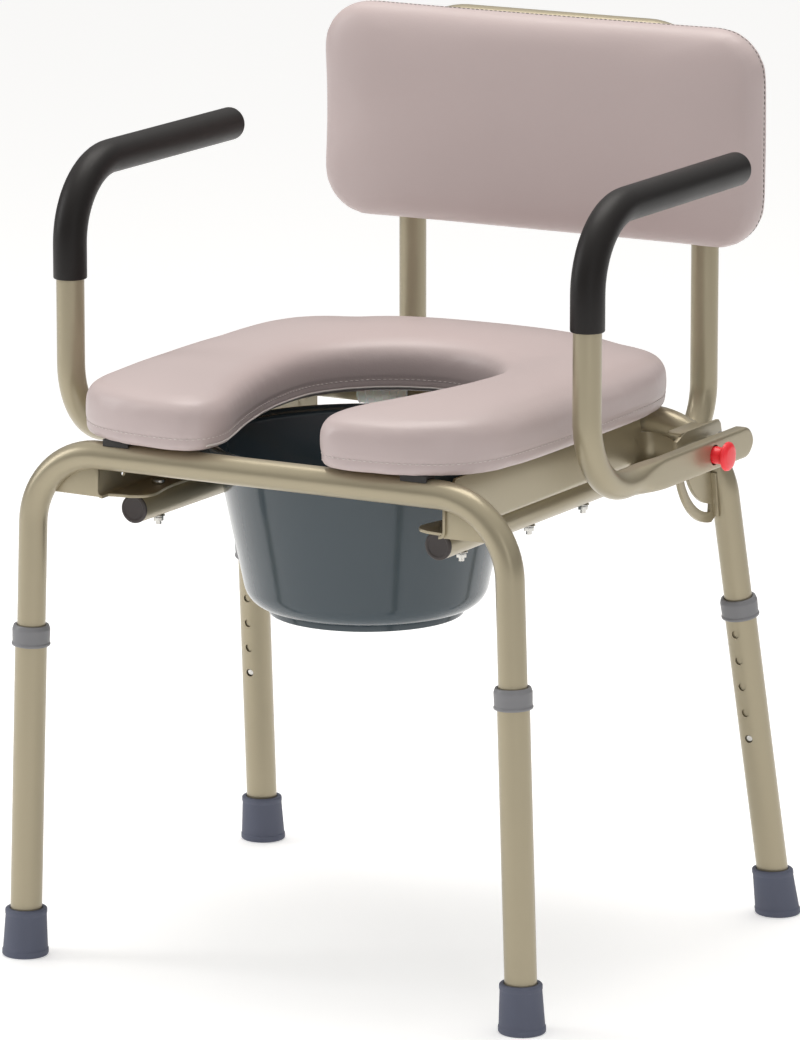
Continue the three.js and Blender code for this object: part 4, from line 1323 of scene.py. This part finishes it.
def pressed_rows(thin, count=40):
    """Rings of the flattened run from its round start to its round end, drawn in by a wall."""
    rows = []
    stops = [press_start + (press_end - press_start) * k / 10 for k in range(11)]
    stops += [press_end + (pivot_y - press_end) * k / 4 for k in range(1, 5)]
    ends = [90 * k / 12 for k in range(1, 13)]
    round_out = flat_half - thin
    stops += [pivot_y + round_out * math.sin(math.radians(a)) for a in ends]
    for y in stops:
        t = min(1, max(0, (y - press_start) / (press_end - press_start)))
        ease = t * t * (3 - 2 * t)
        high = tube_r + (flat_half - tube_r) * ease - thin
        wide = tube_r + ((flat_out - flat_in) / 2 - tube_r) * ease - thin
        middle = arm_x + ((flat_in + flat_out) / 2 - arm_x) * ease
        power = 2 + 5 * ease
        if y > pivot_y:
            high = max(1e-5, math.sqrt(max(0, round_out ** 2 - (y - pivot_y) ** 2)))
        row = []
        for k in range(count):
            a = 2 * math.pi * k / count
            c, s = math.cos(a), math.sin(a)
            x = math.copysign(abs(c) ** (2 / power), c) * wide
            z = math.copysign(abs(s) ** (2 / power), s) * high
            row.append(Vector((middle + x, y, pivot_z + z)))
        rows.append(row)
    return rows


def arm_skin(thin, tip_y):
    """The arm's outer or inner surface as one closed solid."""
    corners = [(arm_x, tip_y, arm_top_z), (arm_x, arm_front_y, arm_top_z), (arm_x, arm_front_y, pivot_z),
               (arm_x, press_start - 0.002, pivot_z)]
    path = bent_path(corners, bend_r, 16)
    count = 40
    across = Vector((1, 0, 0))
    rows = []
    for place, way in path:
        up = way.cross(across)
        angles = [2 * math.pi * k / count for k in range(count)]
        rows.append([place + (across * math.cos(a) - up * math.sin(a)) * (tube_r - thin) for a in angles])
    return skin(rows + pressed_rows(thin, count))


grip_foam = finish("grip_foam", (0.0105, 0.0085, 0.0080), 0.44, shade=0.15, rough_swing=0.06, bump=0.5,
                   grain_scale=1400.0, patch_scale=18.0, bump_distance=0.00025, Specular_IOR_Level=0.28)


def arm_tube(name, side):
    tube = new_object("arm", arm_skin(0, arm_tip_y))
    through = [flat_in - 0.004, flat_in + 0.004]
    pin_pocket = rod((flat_out - 0.006, pin_y, pivot_z), (flat_out + 0.004, pin_y, pivot_z), 0.0093, 40)
    pin_hole, bolt_hole = [rod(*[(x, y, pivot_z) for x in through], radius) for y, radius in
                           ((pin_y, 0.0038), (pivot_y, 0.0040))]
    drill(tube, arm_skin(tube_wall, arm_tip_y + 0.002))
    drill(tube, pin_pocket, pin_hole, bolt_hole)
    obj = new_object(name, mirror_to(taken(tube), side))
    settle(obj, frame_paint, f"arm_{name[-1]}", name)


for mark, side in sides.items():
    arm_tube(f"arm_tube_{mark}", side)

# ---- Arm grips ----
# Black foam sleeves pulled over the upper bend of each arm, closed and domed at the rear end.

grip_r = 0.0153
grip_bore_r = 0.0129
grip_low = 0.602
grip_end = 0.126
grip_dome = 0.009


def arm_grip(name, side):
    corners = [(arm_x, arm_front_y, grip_low), (arm_x, arm_front_y, arm_top_z)]
    path = bent_path([*corners, (arm_x, grip_end - grip_dome, arm_top_z)], bend_r, 18)
    start, up = path[0]
    lip = [(0, 0.0009), (0.0004, 0.0003), (0.0012, 0)]
    stations = [(start + Vector((0, 0, rise)), up) for rise, _ in lip] + path[1:]
    radii = [grip_r - less for _, less in lip] + [grip_r] * (len(path) - 1)
    rear = Vector((0, 1, 0))
    for k in range(1, 9):
        a = math.radians(90 * k / 8)
        stations.append((Vector((arm_x, grip_end - grip_dome + grip_dome * math.sin(a), arm_top_z)), rear))
        radii.append(max(1e-9, grip_r * math.cos(a)))
    bore = bent_path([*corners, (arm_x, arm_tip_y + touch_gap, arm_top_z)], bend_r, 18)
    outer = rings(stations, radii)
    inner = rings(bore, [grip_bore_r] * len(bore))
    pole = rings([bore[-1]], [1e-9])[0]
    obj = new_object(name, mirror_to(skin(outer + [pole] + inner[::-1], closed=True), side))
    settle(obj, grip_foam, f"arm_{name[-1]}", name)


for mark, side in sides.items():
    arm_grip(f"arm_grip_{mark}", side)

# ---- Release pins ----
# A sprung steel pin through the arm ends in the bracket's slot. Pulling its red knob frees the
# arm to swing down. A barrel guides it, and a coil spring inside the arm pushes it home.

pin_r = 0.0032
knob_plastic = finish("knob_plastic", (0.93, 0.022, 0.035), 0.36, shade=0.05, rough_swing=0.04, bump=0.1,
                      patch_scale=50.0, Coat_Weight=0.25, Coat_Roughness=0.2)
barrel_profile = [(pin_r + 0.0005, 0.250), (0.0060, 0.250), (0.0060, flat_in - touch_gap),
                  (pin_r + 0.0005, flat_in - touch_gap)]
pin_profile = [(0, 0.2375), (pin_r - 0.0006, 0.2375), (pin_r, 0.2385), (pin_r, flat_in + 0.0019),
               (0.0054, flat_in + 0.0019), (0.0054, flat_in + 0.0030), (pin_r, flat_in + 0.0030),
               (pin_r, 0.2795), (0, 0.2795)]
knob_profile = [(0, 0.2799), (pin_r + 0.0003, 0.2799), (pin_r + 0.0003, 0.2712), (0.0078, 0.2712),
                (0.0080, 0.2768), (0.0076, 0.2800), (0.0078, 0.2828), (0.0090, 0.2848), (0.0113, 0.2858),
                (0.0127, 0.2862), (0.0133, 0.2872), (0.0130, 0.2888), (0.0116, 0.2902), (0.0085, 0.2911),
                (0.0045, 0.2915), (0, 0.2915)]


def coil_tree():
    """A round wire wound into a straight coil along Z."""
    sizes = {"Turns": 4.0, "Coil Radius": 0.004, "Height": 0.008, "Wire Radius": 0.0004}
    tree, ins, outs = tree_with("coil", sizes)
    nodes, links = tree.nodes, tree.links
    spiral = nodes.new("GeometryNodeCurveSpiral")
    spiral.inputs["Resolution"].default_value = 24
    wire = nodes.new("GeometryNodeCurvePrimitiveCircle")
    wire.inputs["Resolution"].default_value = 8
    solid = nodes.new("GeometryNodeCurveToMesh")
    solid.inputs["Fill Caps"].default_value = True
    links.new(ins.outputs["Turns"], spiral.inputs["Rotations"])
    links.new(ins.outputs["Coil Radius"], spiral.inputs["Start Radius"])
    links.new(ins.outputs["Coil Radius"], spiral.inputs["End Radius"])
    links.new(ins.outputs["Height"], spiral.inputs["Height"])
    links.new(ins.outputs["Wire Radius"], wire.inputs["Radius"])
    links.new(spiral.outputs["Curve"], solid.inputs["Curve"])
    links.new(wire.outputs["Curve"], solid.inputs["Profile Curve"])
    finish_tree(tree, ins, outs, solid.outputs["Mesh"])
    return tree


coil = coil_tree()
for mark, side in sides.items():
    barrel = new_object(f"plunger_barrel_{mark}", across_at(barrel_profile, pin_y, side))
    settle(barrel, steel, f"arm_{mark}", f"plunger_barrel_{mark}")
    pin = new_object(f"plunger_pin_{mark}", across_at(pin_profile, pin_y, side))
    settle(pin, steel, f"release_pin_{mark}", f"plunger_pin_{mark}")
    knob = new_object(f"release_knob_{mark}", across_at(knob_profile, pin_y, side, 48))
    settle(knob, knob_plastic, f"release_pin_{mark}", f"release_knob_{mark}")
    wound = grown("wound", coil, points_mesh("wound", [(0, 0, 0)]), {
        "Turns": 4.5,
        "Coil Radius": 0.0046,
        "Height": 0.0070,
        "Wire Radius": 0.0004,
    }, steel)
    lay = Matrix.Translation((flat_in + 0.0037, pin_y, pivot_z)) @ Matrix.Rotation(math.radians(90), 4, "Y")
    spring = new_object(f"plunger_spring_{mark}", mirror_to(moved(taken(wound), lay), side))
    settle(spring, steel, f"arm_{mark}", f"plunger_spring_{mark}")

# ---- Floor, light and camera ----
# A wide pale floor, soft light from large panels and a dim dome, and a long lens.

floor_mesh = bpy.data.meshes.new("floor")
reach = 9.0
floor_mesh.from_pydata([(-reach, -reach, 0), (reach, -reach, 0), (reach, reach, 0), (-reach, reach, 0)], [],
                       [(0, 1, 2, 3)])
floor = bpy.data.objects.new("floor", floor_mesh)
bpy.context.scene.collection.objects.link(floor)
pale = bpy.data.materials.new("pale_floor")
pale.use_nodes = True
floor_look = {"Base Color": (0.88, 0.88, 0.88, 1), "Roughness": 0.9, "Specular IOR Level": 0.1,
              "Emission Color": (1, 1, 1, 1), "Emission Strength": 0.32}
for socket, value in floor_look.items():
    pale.node_tree.nodes["Principled BSDF"].inputs[socket].default_value = value
floor_mesh.materials.append(pale)

world = bpy.data.worlds.new("studio")
world.use_nodes = True
sky = world.node_tree
way_up = sky.nodes.new("ShaderNodeSeparateXYZ")
dome_light = sky.nodes.new("ShaderNodeValToRGB")
sky.links.new(sky.nodes.new("ShaderNodeTexCoord").outputs["Generated"], way_up.inputs["Vector"])
sky.links.new(way_up.outputs["Z"], dome_light.inputs["Fac"])
sky.links.new(dome_light.outputs["Color"], sky.nodes["Background"].inputs["Color"])
horizon, zenith = dome_light.color_ramp.elements
horizon.position, horizon.color = 0.02, (0.10, 0.10, 0.105, 1)
zenith.position, zenith.color = 0.75, (1.0, 0.99, 0.97, 1)
sky.nodes["Background"].inputs["Strength"].default_value = 0.85
bpy.context.scene.world = world
bpy.context.scene.view_settings.view_transform = "Standard"

middle = Vector((0, -0.0339, 0.400))


def light_panel(name, place, width, height, power, tint=(1, 1, 1)):
    """A soft light panel aimed at the middle of the chair."""
    data = bpy.data.lights.new(name, "AREA")
    data.shape = "RECTANGLE"
    data.size = width
    data.size_y = height
    data.energy = power
    data.color = tint
    light = bpy.data.objects.new(name, data)
    light.location = place
    light.rotation_euler = (middle - Vector(place)).to_track_quat("-Z", "Y").to_euler()
    bpy.context.scene.collection.objects.link(light)


light_panel("top_panel", (-0.2, 0.3, 2.7), 1.8, 1.4, 32, (1.0, 0.97, 0.93))
light_panel("left_panel", (-2.6, -1.2, 1.5), 0.9, 1.8, 22)
light_panel("right_panel", (2.4, -2.4, 1.2), 0.6, 1.6, 5)

camera_data = bpy.data.cameras.new("camera")
camera_data.lens = 247.16
camera_data.sensor_width = 36
camera_data.shift_x = 0.0036
camera_data.shift_y = -0.0172
camera_data.clip_end = 50
camera = bpy.data.objects.new("camera", camera_data)
azimuth, elevation, distance = math.radians(29.367), math.radians(12.12), 6.42466
level = math.cos(elevation)
aim = Vector((-math.sin(azimuth) * level, math.cos(azimuth) * level, -math.sin(elevation)))
camera.location = middle - aim * distance
camera.rotation_euler = aim.to_track_quat("-Z", "Y").to_euler()
bpy.context.scene.collection.objects.link(camera)
bpy.context.scene.camera = camera
